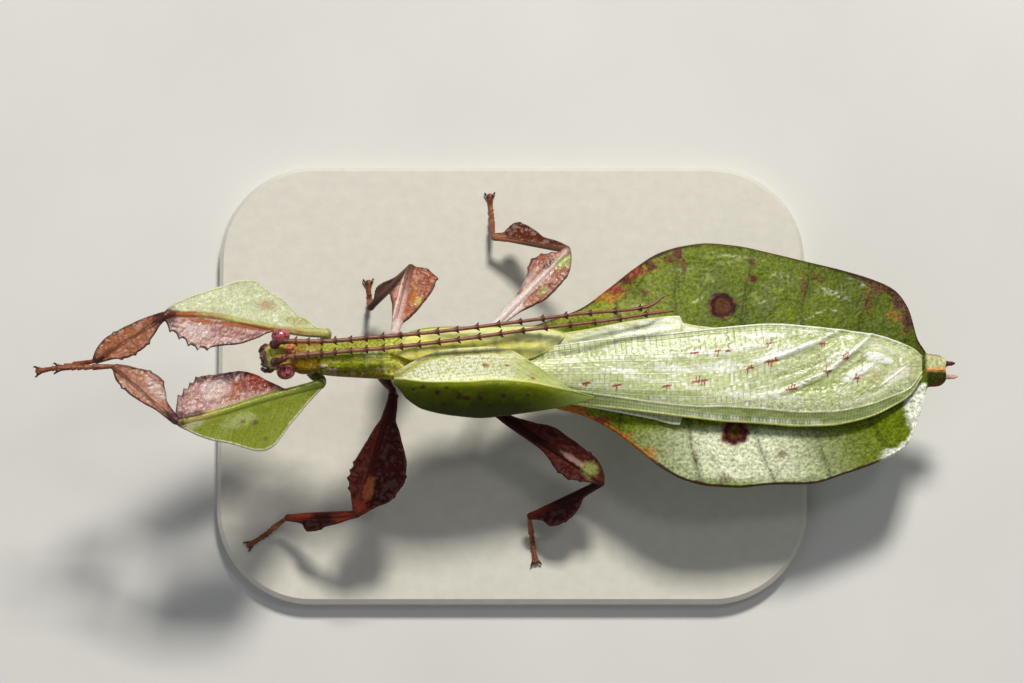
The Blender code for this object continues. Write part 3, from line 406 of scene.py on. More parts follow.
def material_of(name, fine_size, fine_depth, coarse_size, coarse_depth, coat=0.0, cell=False, mirror=0.3,
                light_through=0.0, speckle=0.1):
    """A surface that takes its colour and roughness from the mesh, with fine relief of two sizes."""
    made, tree, shader = new_material(name)
    link = tree.links.new
    place = add_node(tree, "TexCoord").outputs["Object"]
    fine = add_node(tree, "TexVoronoi" if cell else "TexNoise", Scale=1 / (fine_size * MM))
    coarse = add_node(tree, "TexNoise", Scale=1 / (coarse_size * MM), Detail=3.0)
    for texture in (fine, coarse):
        link(place, texture.inputs["Vector"])
    fine_out, coarse_out = fine.outputs["Distance" if cell else "Fac"], coarse.outputs["Fac"]

    shade = add_node(tree, "MapRange", To_Min=FINE_SHADE[0], To_Max=FINE_SHADE[1])
    link(coarse_out, shade.inputs["Value"])
    low, high = CELL_SPAN if cell else NOISE_SPAN
    dots = add_node(tree, "MapRange", From_Min=low, From_Max=high, To_Min=1 - speckle, To_Max=1 + speckle)
    link(fine_out, dots.inputs["Value"])
    coloured = add_node(tree, "VectorMath")
    coloured.operation = "SCALE"
    link(from_mesh(tree, "tint").outputs["Color"], coloured.inputs[0])
    varied = math_node(tree, "MULTIPLY", shade.outputs["Result"], dots.outputs["Result"])
    link(varied, coloured.inputs["Scale"])
    link(coloured.outputs["Vector"], shader.inputs["Base Color"])

    lowered = math_node(tree, "SUBTRACT", from_mesh(tree, "gloss").outputs["Fac"], WEAR / 2)
    link(math_node(tree, "MULTIPLY_ADD", coarse_out, WEAR, lowered), shader.inputs["Roughness"])

    relief = add_node(tree, "Bump", Distance=coarse_depth * MM, Strength=1.0)
    link(coarse_out, relief.inputs["Height"])
    finer = add_node(tree, "Bump", Distance=fine_depth * MM, Strength=1.0)
    link(fine_out, finer.inputs["Height"])
    link(relief.outputs["Normal"], finer.inputs["Normal"])
    link(finer.outputs["Normal"], shader.inputs["Normal"])

    shader.inputs["Specular IOR Level"].default_value = mirror
    shader.inputs["Coat Weight"].default_value = coat
    shader.inputs["Coat Roughness"].default_value = COAT_ROUGHNESS
    if light_through:
        shader.inputs["Subsurface Weight"].default_value = light_through
        shader.inputs["Subsurface Radius"].default_value = GLOW_REACH
        shader.inputs["Subsurface Scale"].default_value = 0.5 * MM
    return made


# The trunk: neck, thorax, abdomen and tail in one surface, as half widths, crown and underside along x
TRUNK_STEP = 0.13
TRUNK_COLUMNS = (230, 100)  # above and below
TRUNK_FRONT = [
    (-21.0, 0.7), (-20.4, 1.1), (-20.05, 1.3), (-19.85, 1.45), (-19.2, 1.62), (-18.1, 1.52), (-17.8, 1.42),
    (-17.5, 1.62), (-14, 1.85), (-11.2, 1.95), (-10.4, 2.1), (-8, 2.8), (-5, 3.2),
]
TRUNK_END = [(39.3, 1.6), (40.2, 1.5), (40.8, 1.25), (41.1, 0.9)]
TRUNK_RIGHT = TRUNK_FRONT + [
    (-1.5, 3.1), (1.5, 3.6), (4.5, 4.7), (7, 5.6), (9.5, 7.4), (12, 9.4), (14.2, 10.8), (16.5, 11.5),
    (18.8, 11.8), (21.5, 11.6), (24.5, 11.0), (28, 10.2), (31.5, 9.4), (34.5, 8.5), (36.3, 7.6),
    (37.5, 5.9), (38.3, 2.9), (38.9, 2.0),
] + TRUNK_END
TRUNK_LEFT = TRUNK_FRONT + [
    (-1.5, 3.0), (1.5, 3.3), (4.5, 3.9), (7, 4.6), (9.5, 5.9), (12, 7.7), (14.2, 9.4), (16.5, 10.6),
    (18.8, 11.1), (21.5, 11.2), (24.5, 10.9), (28, 10.8), (31.5, 9.8), (34.5, 8.7), (36.3, 7.8),
    (37.5, 6.7), (38.3, 4.6), (38.9, 2.6),
] + TRUNK_END
CROWN = [(-21.0, 0.0), (-20.3, 0.25), (-19.9, 0.4), (-19.0, 0.45), (-11, 0.5)]
THORAX_UNDER = [(-21, -1.1), (-20, -1.3), (-19, -1.9), (-11, -1.9)]
BELLY_WIDTH = 3.0
BELLY_DEPTH = [(-1, 1.7), (6, 2.2), (20, 2.0), (34, 1.6), (38.5, 1.3)]
TAIL_DEPTH = [(39.0, 1.25), (40.4, 1.0), (41.1, 0.7)]
LOBE = 0.45  # thickness of the abdomen's leaf-like sides
RIM = 0.24  # how far in from an edge the sheet rounds off
THORAX_HALF = 1.75
TUBERCLE_ROWS = (0.62, 0.85)  # as shares of the thorax's half width
TUBERCLE_SPACING, TUBERCLE_SHIFT = 0.52, 0.17

# Lines between the abdomen's segments, right and then left: x at the middle, and how far back each goes per
# millimetre to the side
SEGMENT_LINES = [
    (4.4, 0.0, 4.4, 0.0), (9.9, 0.02, 9.8, 0.1), (15.2, 0.05, 15.4, 0.22), (20.8, 0.19, 20.2, 0.43),
    (26.4, 0.2, 26.1, 0.4), (31.5, 0.33, 30.9, 0.6), (36.2, 0.35, 35.9, 0.5),
]
EYESPOTS = [(19.85, 5.7, 1.3, 1.2), (20.95, -6.15, 1.25, 1.15)]


def segment_distance(x, y):
    """Distance to the nearest line between segments."""
    best = np.full(np.shape(x), FAR_AWAY)
    for k, (right, right_lean, left, left_lean) in enumerate(SEGMENT_LINES):
        wobble = 0.1 * np.sin(1.3 * y + k)
        line = np.where(y > 0, right + right_lean * np.abs(y), left + left_lean * np.abs(y)) + wobble
        best = np.minimum(best, np.abs(x - line))
    return best


def eyespot_radius(x, y):
    """Distance from the nearest eyespot's middle, as a share of its size."""
    best = np.full(np.shape(x), FAR_AWAY)
    for cx, cy, rx, ry in EYESPOTS:
        turn = np.arctan2(y - cy, x - cx)
        uneven = 1 + 0.05 * np.sin(3 * turn + cx) + 0.03 * np.sin(7 * turn)
        best = np.minimum(best, np.hypot((x - cx) / rx, (y - cy) / ry) / uneven)
    return best


def trunk_rings():
    x = np.arange(TRUNK_RIGHT[0][0], TRUNK_RIGHT[-1][0], TRUNK_STEP)[:, None]
    right, left = smooth(TRUNK_RIGHT, x), smooth(TRUNK_LEFT, x)
    rows = []
    for count in TRUNK_COLUMNS:
        a = np.linspace(-1, 1, count)
        q = 0.55 * np.sin(a * math.pi / 2) + 0.45 * a
        y = np.where(q < 0, left, right) * q
        edge = np.where(q < 0, left, right) * (1 - np.abs(q))
        curve = np.sqrt(np.clip(1 - np.abs(q) ** 2.6, 0, 1)) + 0 * x
        to_rear, to_belly = ease(x, -11.6, -10.2), ease(x, -2.4, 0.4)
        to_tail = ease(x, 38.7, 39.3)
        top = -0.5 + (0.5 + smooth(CROWN, x)) * curve
        top = top * (1 - to_rear) + (back(x, y) - 0.3 * to_tail * (1 - curve)) * to_rear
        front = -0.9 + (smooth(THORAX_UNDER, x) + 0.9) * curve
        middle = np.minimum(top - LOBE, smooth(BACK_LEVEL, x) - 0.5 - 1.25 * curve)
        core = np.minimum(BELLY_WIDTH, 0.62 * np.where(y < 0, left, right))
        belly = np.sqrt(np.clip(1 - (np.abs(y) / core) ** 2.4, 0, 1))
        leaf = top - LOBE - (smooth(BELLY_DEPTH, x) - LOBE) * belly
        tail = back(x, y) - 0.7 - (smooth(TAIL_DEPTH, x) - 0.5) * curve
        under = front * (1 - to_rear) + middle * to_rear
        under = under * (1 - to_belly) + leaf * to_belly
        under = under * (1 - to_tail) + tail * to_tail
        rim = round_edge(edge, RIM)
        middle, half = (top + under) / 2, (top - under) / 2
        rows.append((q, y, edge, middle + half * rim, middle - half * rim))
    q, y, edge, height, _ = rows[0]
    height += trunk_relief(x + 0 * y, y, edge, q + 0 * y)
    upper = on_body(x, y, height)
    _, y, edge, _, height = rows[1]
    height -= belly_relief(x + 0 * y, y) * np.clip(edge / RIM, 0, 1)
    lower = on_body(x, y, height)
    return np.concatenate([upper, lower[:, -2:0:-1]], axis=1)


def trunk_relief(x, y, edge, q):
    """What stands above the plain back."""
    flat = plan(x, y)
    leaf = ease(x, 1.0, 4.0) * fade(x, 38.4, 39.0)
    inner = np.clip(edge / 0.6, 0, 1)
    line = segment_distance(x, y)
    rise = 0.06 * noise(flat, 2.6, 3) + 0.03 * noise(flat, 0.9, 4) + 0.012 * noise(flat, 0.35, 5)
    rise = leaf * inner * rise
    rise += leaf * inner * (0.02 * bump(line - 0.2, 0.15) - 0.04 * bump(line, 0.06))
    rise += leaf * inner * 0.02 * (leaf_grains(x, y) - 0.5)
    rise += leaf * inner * (0.012 * leaf_pucker(flat) - 0.015 * bump(leaf_veins(x, y), 0.07))
    rise += leaf * 0.05 * bump(edge - 0.16, 0.1)
    frayed = fray(x, y, edge)
    rise += frayed * (0.14 * crinkle(flat, 175) + 0.1 * noise(flat, 0.7, 176))
    spot = eyespot_radius(x, y)
    rise = rise + 0.05 * bump(spot - 0.86, 0.2) - 0.07 * bump(spot, 0.55)
    rise += 0.02 * noise(flat, 0.25, 8) * (spot < 1)

    # The thorax: a groove behind the front plate, a rim round it, a keel and rows of small tubercles
    thorax = fade(x, -11.0, -9.5)
    rise -= thorax * 0.16 * bump(x + 17.8, 0.13) * np.clip(edge / 0.3, 0, 1)
    rise = rise + thorax * 0.06 * bump(x + 17.35, 0.16) + thorax * 0.05 * bump(x + 18.15, 0.14)
    plate = ease(x, -19.9, -19.6) * fade(x, -18.3, -17.9)
    rise -= plate * (0.08 * bump(x + 18.95, 0.12) * (np.abs(y) < 1.1) + 0.07 * bump(y, 0.1))
    rear_plate = ease(x, -17.5, -17.0) * thorax
    rise += rear_plate * (0.07 * bump(y, 0.12) - 0.05 * bump(np.abs(y) - 0.45, 0.2))
    for along, row, side, away in tubercle_places(x, q):
        size = 0.06 + 0.06 * hashed(along, row + 5, side)
        rise += rear_plate * size * bump(away, 0.13)
    rise += thorax * (0.03 * noise(flat, 0.55, 11) + 0.018 * noise(flat, 0.22, 12))
    tail = ease(x, 39.2, 39.5)
    return rise + tail * (0.06 * bump(y, 0.08) + 0.02 * noise(flat, 0.4, 13))


def leaf_grains(x, y):
    """The grains between the abdomen's small pits, from 0 in the pits to 1."""
    return grains(x, y, 0.42, 174)


def leaf_pucker(flat):
    return crinkle(flat * 1.3, 170)


def tubercle_places(x, q):
    """For each row of tubercles on the thorax: what seeds them, and how far off the nearest one is."""
    for row, reach in enumerate(TUBERCLE_ROWS):
        for side in (1, -1):
            at = x + TUBERCLE_SHIFT * row
            along = np.round(at / TUBERCLE_SPACING)
            shift = 0.12 * (hashed(along, row, side + 2) - 0.5)
            away = np.hypot(at - TUBERCLE_SPACING * along - shift, (q - side * reach) * THORAX_HALF)
            yield along, row, side + 2, away


def fray(x, y, edge):
    """The crumpled margin at the rear corner of the left side, where a highlight is painted in white."""
    flat = plan(x, y)
    uneven = 0.5 * noise(flat, 0.9, 177) + 0.2 * noise(flat, 0.4, 178)
    corner = fade(np.hypot((x - 38.6) / 1.5, (y + 3.6) / 3.0) + 0.4 * uneven, 0.8, 1.1)
    strip = ease(x, 34.3, 35.6) * fade(edge + uneven, 0.6, 1.0)
    return np.maximum(corner, strip) * fade(x, 38.9, 39.3) * (y < -1.3)


def belly_relief(x, y):
    """Segment plates and a fine wrinkling on the underside, as depth below it."""
    flat = plan(x, y)
    line = segment_distance(x, y)
    belly = np.clip(1 - (np.abs(y) / BELLY_WIDTH) ** 2, 0, 1) * ease(x, -1, 2)
    depth = belly * (0.1 * np.sqrt(np.clip(line, 0, 2.5) / 2.5) - 0.08 * bump(line, 0.12))
    depth += 0.04 * bump(np.abs(y) - BELLY_WIDTH * 0.92, 0.15) * ease(x, 2, 4)
    return depth + 0.03 * noise(flat, 0.8, 21) + 0.015 * noise(flat, 0.3, 22)


# The head and its frame: forward from its rear face, to the insect's right, and up
HEAD_YAW = math.radians(8.8)
HEAD_ROW, HEAD_AROUND = 0.04, 120
HEAD_REAR = (-20.45, 0.16, 0.0)
HEAD_WIDTH = [
    (-0.6, 0.6), (0, 1.15), (0.25, 1.38), (0.75, 1.5), (1.2, 1.35), (1.8, 1.15), (2.2, 0.95), (2.5, 0.55),
]
HEAD_TOP = [
    (-0.6, 0.1), (0, 0.6), (0.35, 0.95), (0.8, 1.1), (1.3, 0.95), (1.85, 0.45), (2.25, -0.1), (2.5, -0.7),
]
HEAD_UNDER = [(-0.6, -1.0), (0, -1.1), (0.4, -1.5), (1.2, -1.8), (1.95, -2.1), (2.35, -2.0), (2.5, -1.5)]
EYE_CENTRE = (0.66, 1.66, 0.36)
EYE_RADII = (0.86, 0.72, 0.78)
OCELLI = [(0.2, 0.2, 0.34), (-0.16, 0.52, 0.29), (-0.22, -0.08, 0.29)]
PALPS = [
    ([(1.5, 0.85, -1.1), (1.95, 1.15, -1.0), (2.35, 1.0, -1.2), (2.55, 0.7, -1.6)], 0.24, 4),
    ([(1.5, -0.85, -1.1), (1.95, -1.2, -1.0), (2.35, -1.1, -1.2), (2.6, -0.8, -1.6)], 0.24, 4),
    ([(1.9, 0.35, -1.8), (2.3, 0.42, -2.0), (2.5, 0.25, -2.35)], 0.18, 3),
    ([(1.9, -0.35, -1.8), (2.3, -0.42, -2.0), (2.5, -0.3, -2.35)], 0.18, 3),
]
JAWS = [
    (2.3, 0.42, -1.2, 0.36, 0.36, 0.55), (2.3, -0.42, -1.2, 0.36, 0.36, 0.55),
    (2.46, 0.0, -0.8, 0.22, 0.5, 0.32),
]
CHEEK_KNOBS = [
    (1.9, 1.0, -0.55, 0.22), (2.15, 0.72, -0.5, 0.17), (2.1, -0.9, -0.55, 0.22), (1.75, -1.2, -0.6, 0.2),
]


def on_head(u, v, w):
    """A point of the head's frame in the model's own frame."""
    x0, y0, z0 = HEAD_REAR
    x = x0 - u * math.cos(HEAD_YAW) - v * math.sin(HEAD_YAW)
    y = y0 - u * math.sin(HEAD_YAW) + v * math.cos(HEAD_YAW)
    return on_body(x, y, z0 + w)


def in_head(points):
    x, y, z = in_body(points)
    ahead, aside = -(x - HEAD_REAR[0]), y - HEAD_REAR[1]
    u = ahead * math.cos(HEAD_YAW) - aside * math.sin(HEAD_YAW)
    v = ahead * math.sin(HEAD_YAW) + aside * math.cos(HEAD_YAW)
    return u, v, z - HEAD_REAR[2]


def head_axes():
    origin = on_head(0.0, 0.0, 0.0)
    return [unit(on_head(*step) - origin) for step in ((1.0, 0.0, 0.0), (0.0, 1.0, 0.0), (0.0, 0.0, 1.0))]


def eye_depth(u, v, w):
    """Distance from the nearer eye's middle, as a share of its size."""
    du, dv, dw = EYE_CENTRE
    return np.sqrt(((u - du) / EYE_RADII[0]) ** 2 + ((np.abs(v) - dv) / EYE_RADII[1]) ** 2
                   + ((w - dw) / EYE_RADII[2]) ** 2)


def head_shape():
    """The head capsule, with a rim round each eye, antenna sockets, a face and small grains."""
    u = np.arange(HEAD_WIDTH[0][0], HEAD_WIDTH[-1][0] + HEAD_ROW / 4, HEAD_ROW)[:, None]
    turn = np.arange(HEAD_AROUND) * 2 * math.pi / HEAD_AROUND
    width, top, under = smooth(HEAD_WIDTH, u), smooth(HEAD_TOP, u), smooth(HEAD_UNDER, u)
    v = width * np.sign(np.cos(turn)) * np.abs(np.cos(turn)) ** 0.8
    w = (top + under) / 2 + (top - under) / 2 * np.sin(turn)
    u = u + 0 * v
    near_eye = eye_depth(u, v, w)
    rise = 0.13 * bump(near_eye - 1.16, 0.12)
    crest = np.clip(np.sin(turn), 0, 1)
    rise -= 0.07 * bump(v, 0.09) * crest * ease(u, 0.3, 0.7)
    rise += 0.1 * bump(np.abs(v) - 0.55, 0.3) * crest * bump(u - 0.7, 0.5)
    rise = rise - 0.08 * bump(u - 1.75, 0.07) * crest - 0.06 * bump(u - 2.1, 0.05) * crest
    flat = np.stack([u, v, w], axis=-1)
    rise = rise + 0.035 * noise(flat, 0.24, 31) + 0.03 * noise(flat, 0.5, 32)
    away = np.hypot(v, w - (top + under) / 2) + 1e-6
    v += rise * v / away
    w += rise * (w - (top + under) / 2) / away
    return loft(on_head(u, v, w))


def segmented(route, radius, count, swell=0.25, sides=16, per=8):
    """A tube along a route with a swelling in each of a number of segments."""
    path = curve_through(route, count * per + 1)
    at = np.linspace(0, count, len(path))
    within = at - np.floor(at)
    taper = 1 - 0.25 * at / count
    radii = radius * taper * (1 + swell * (np.sin(math.pi * within) ** 0.6 - 0.8))
    return tube(path, radii, sides)


def head_parts():
    axes = head_axes()
    parts = [("head", head_shape())]
    for route, radius, count in PALPS:
        parts.append(("mouth", segmented([on_head(*point) for point in route], radius, count)))
    for u, v, w, ru, rv, rw in JAWS:
        parts.append(("mouth", ball(on_head(u, v, w), (ru, rv, rw), axes)))
    for u, v, w, radius in CHEEK_KNOBS:
        parts.append(("mouth", ball(on_head(u, v, w), (radius,) * 3, axes, 14, 20)))
    for u, v, radius in OCELLI:
        centre = on_head(u, v, smooth(HEAD_TOP, u) + 0.04)
        parts.append(("ocellus", ball(centre, (radius,) * 3, axes, 14, 20)))
    for route in ANTENNA_ROUTES.values():
        base = on_body(*route[0]) - 0.45 * unit(on_body(*route[1]) - on_body(*route[0]))
        parts.append(("socket", ball(base, (0.46, 0.44, 0.4), axes, 20, 30)))
    return parts


# The antennae: routes in the body frame, and segments that lengthen towards the tip
ANTENNA_SEGMENTS = 22
ANTENNA_FIRST, ANTENNA_LAST = 0.85, 2.3
ANTENNA_RADIUS, ANTENNA_TIP_RADIUS = 0.24, 0.16
ANTENNA_ROUTES = {
    "antenna_right": [
        (-21.8, 0.85, 1.55), (-21.6, 0.9, 1.95), (-20.7, 0.95, 2.15), (-18, 1.0, 2.15), (-13.7, 1.4, 2.2),
        (-8, 2.0, 2.35), (-1, 3.0, 2.3), (6, 4.1, 2.0), (12.4, 5.0, 1.6), (14.0, 6.0, 1.6),
    ],
    "antenna_left": [
        (-21.75, -0.85, 1.5), (-21.6, -0.85, 1.9), (-20.8, -0.5, 2.15), (-16.8, 0.0, 2.2), (-11.1, 0.6, 2.35),
        (-5.3, 1.4, 2.4), (1.6, 2.5, 2.5), (8.7, 3.5, 2.5), (13.1, 4.3, 2.4), (14.7, 4.5, 2.4),
    ],
}


def build_antenna(name, material):
    """A chain of segments, each flared at its far end into a dark collar with two small thorns."""
    lengths = np.linspace(ANTENNA_FIRST, ANTENNA_LAST, ANTENNA_SEGMENTS)
    lengths[0], lengths[1] = 0.75, 0.45
    stops = np.concatenate([[0], np.cumsum(lengths)])
    total = stops[-1]
    route = [on_body(*point) for point in ANTENNA_ROUTES[name]]
    route[0] = route[0] - 0.35 * unit(route[1] - route[0])
    per, sides = 16, 14
    path = curve_through(route, ANTENNA_SEGMENTS * per + 1)
    run = np.linspace(0, total, len(path))
    which = np.clip(np.searchsorted(stops, run, side="right") - 1, 0, ANTENNA_SEGMENTS - 1)
    within = (run - stops[which]) / lengths[which]
    slim = np.interp(run / total, [0, 0.03, 0.1, 1], [0.36, 0.3, ANTENNA_RADIUS, ANTENNA_TIP_RADIUS])
    collar = np.clip((within - 0.68) / 0.32, 0, 1)
    flare = 0.84 + 0.5 * collar**1.5 - 0.08 * bump(within, 0.06)
    flare = np.where(which < 1, 1 + 0.15 * np.sin(math.pi * within), flare)
    flare = np.where(which == ANTENNA_SEGMENTS - 1, 1 - 0.75 * within**3, flare)
    shapes = [tube(path, slim * flare, sides)]
    tints = [np.concatenate([np.repeat(collar, sides), [0, 0]])]  # a tube's two end points come last
    for k in range(2, ANTENNA_SEGMENTS - 1):
        at = np.argmin(np.abs(run - stops[k + 1]))
        ahead = unit(path[at] - path[at - 2])
        out = unit(np.cross(ahead, [0.0, 0.0, 1.0]))
        for side, reach in ((1, 0.17), (-1, 0.2 if k % 3 else 0.12)):
            root = path[at] - 0.2 * ahead + side * 0.08 * out
            tip = path[at] + 0.04 * ahead + side * (slim[at] + reach) * out
            spine = tube(np.linspace(root, tip, 5), np.array([0.13, 0.12, 0.1, 0.07, 0.03]), 8)
            shapes.append(spine)
            tints.append(np.ones(len(spine[0])))
    points, faces = joined(shapes)
    piece = add_piece(name + "_chain", (points, faces), material)
    dark = np.concatenate(tints)
    grain = layered(points, 0.5, 41)
    base = mix("feeler", "feeler_pale", 0.5 + 0.6 * grain)
    x = in_body(points)[0]
    base = mix(base, "feeler_tip", 0.6 * ease(x, -16, 8))
    colours = mix(base, "feeler_dark", 0.9 * ease(dark, 0.25, 0.85))
    scape = mix("purple_dark", "purple_red", 0.5 + 0.8 * grain)
    colours = mix(colours, scape, 0.9 * fade(x, -21.1, -20.3))
    set_colours(piece.data, colours, 0.38 + 0.1 * grain)
    return piece


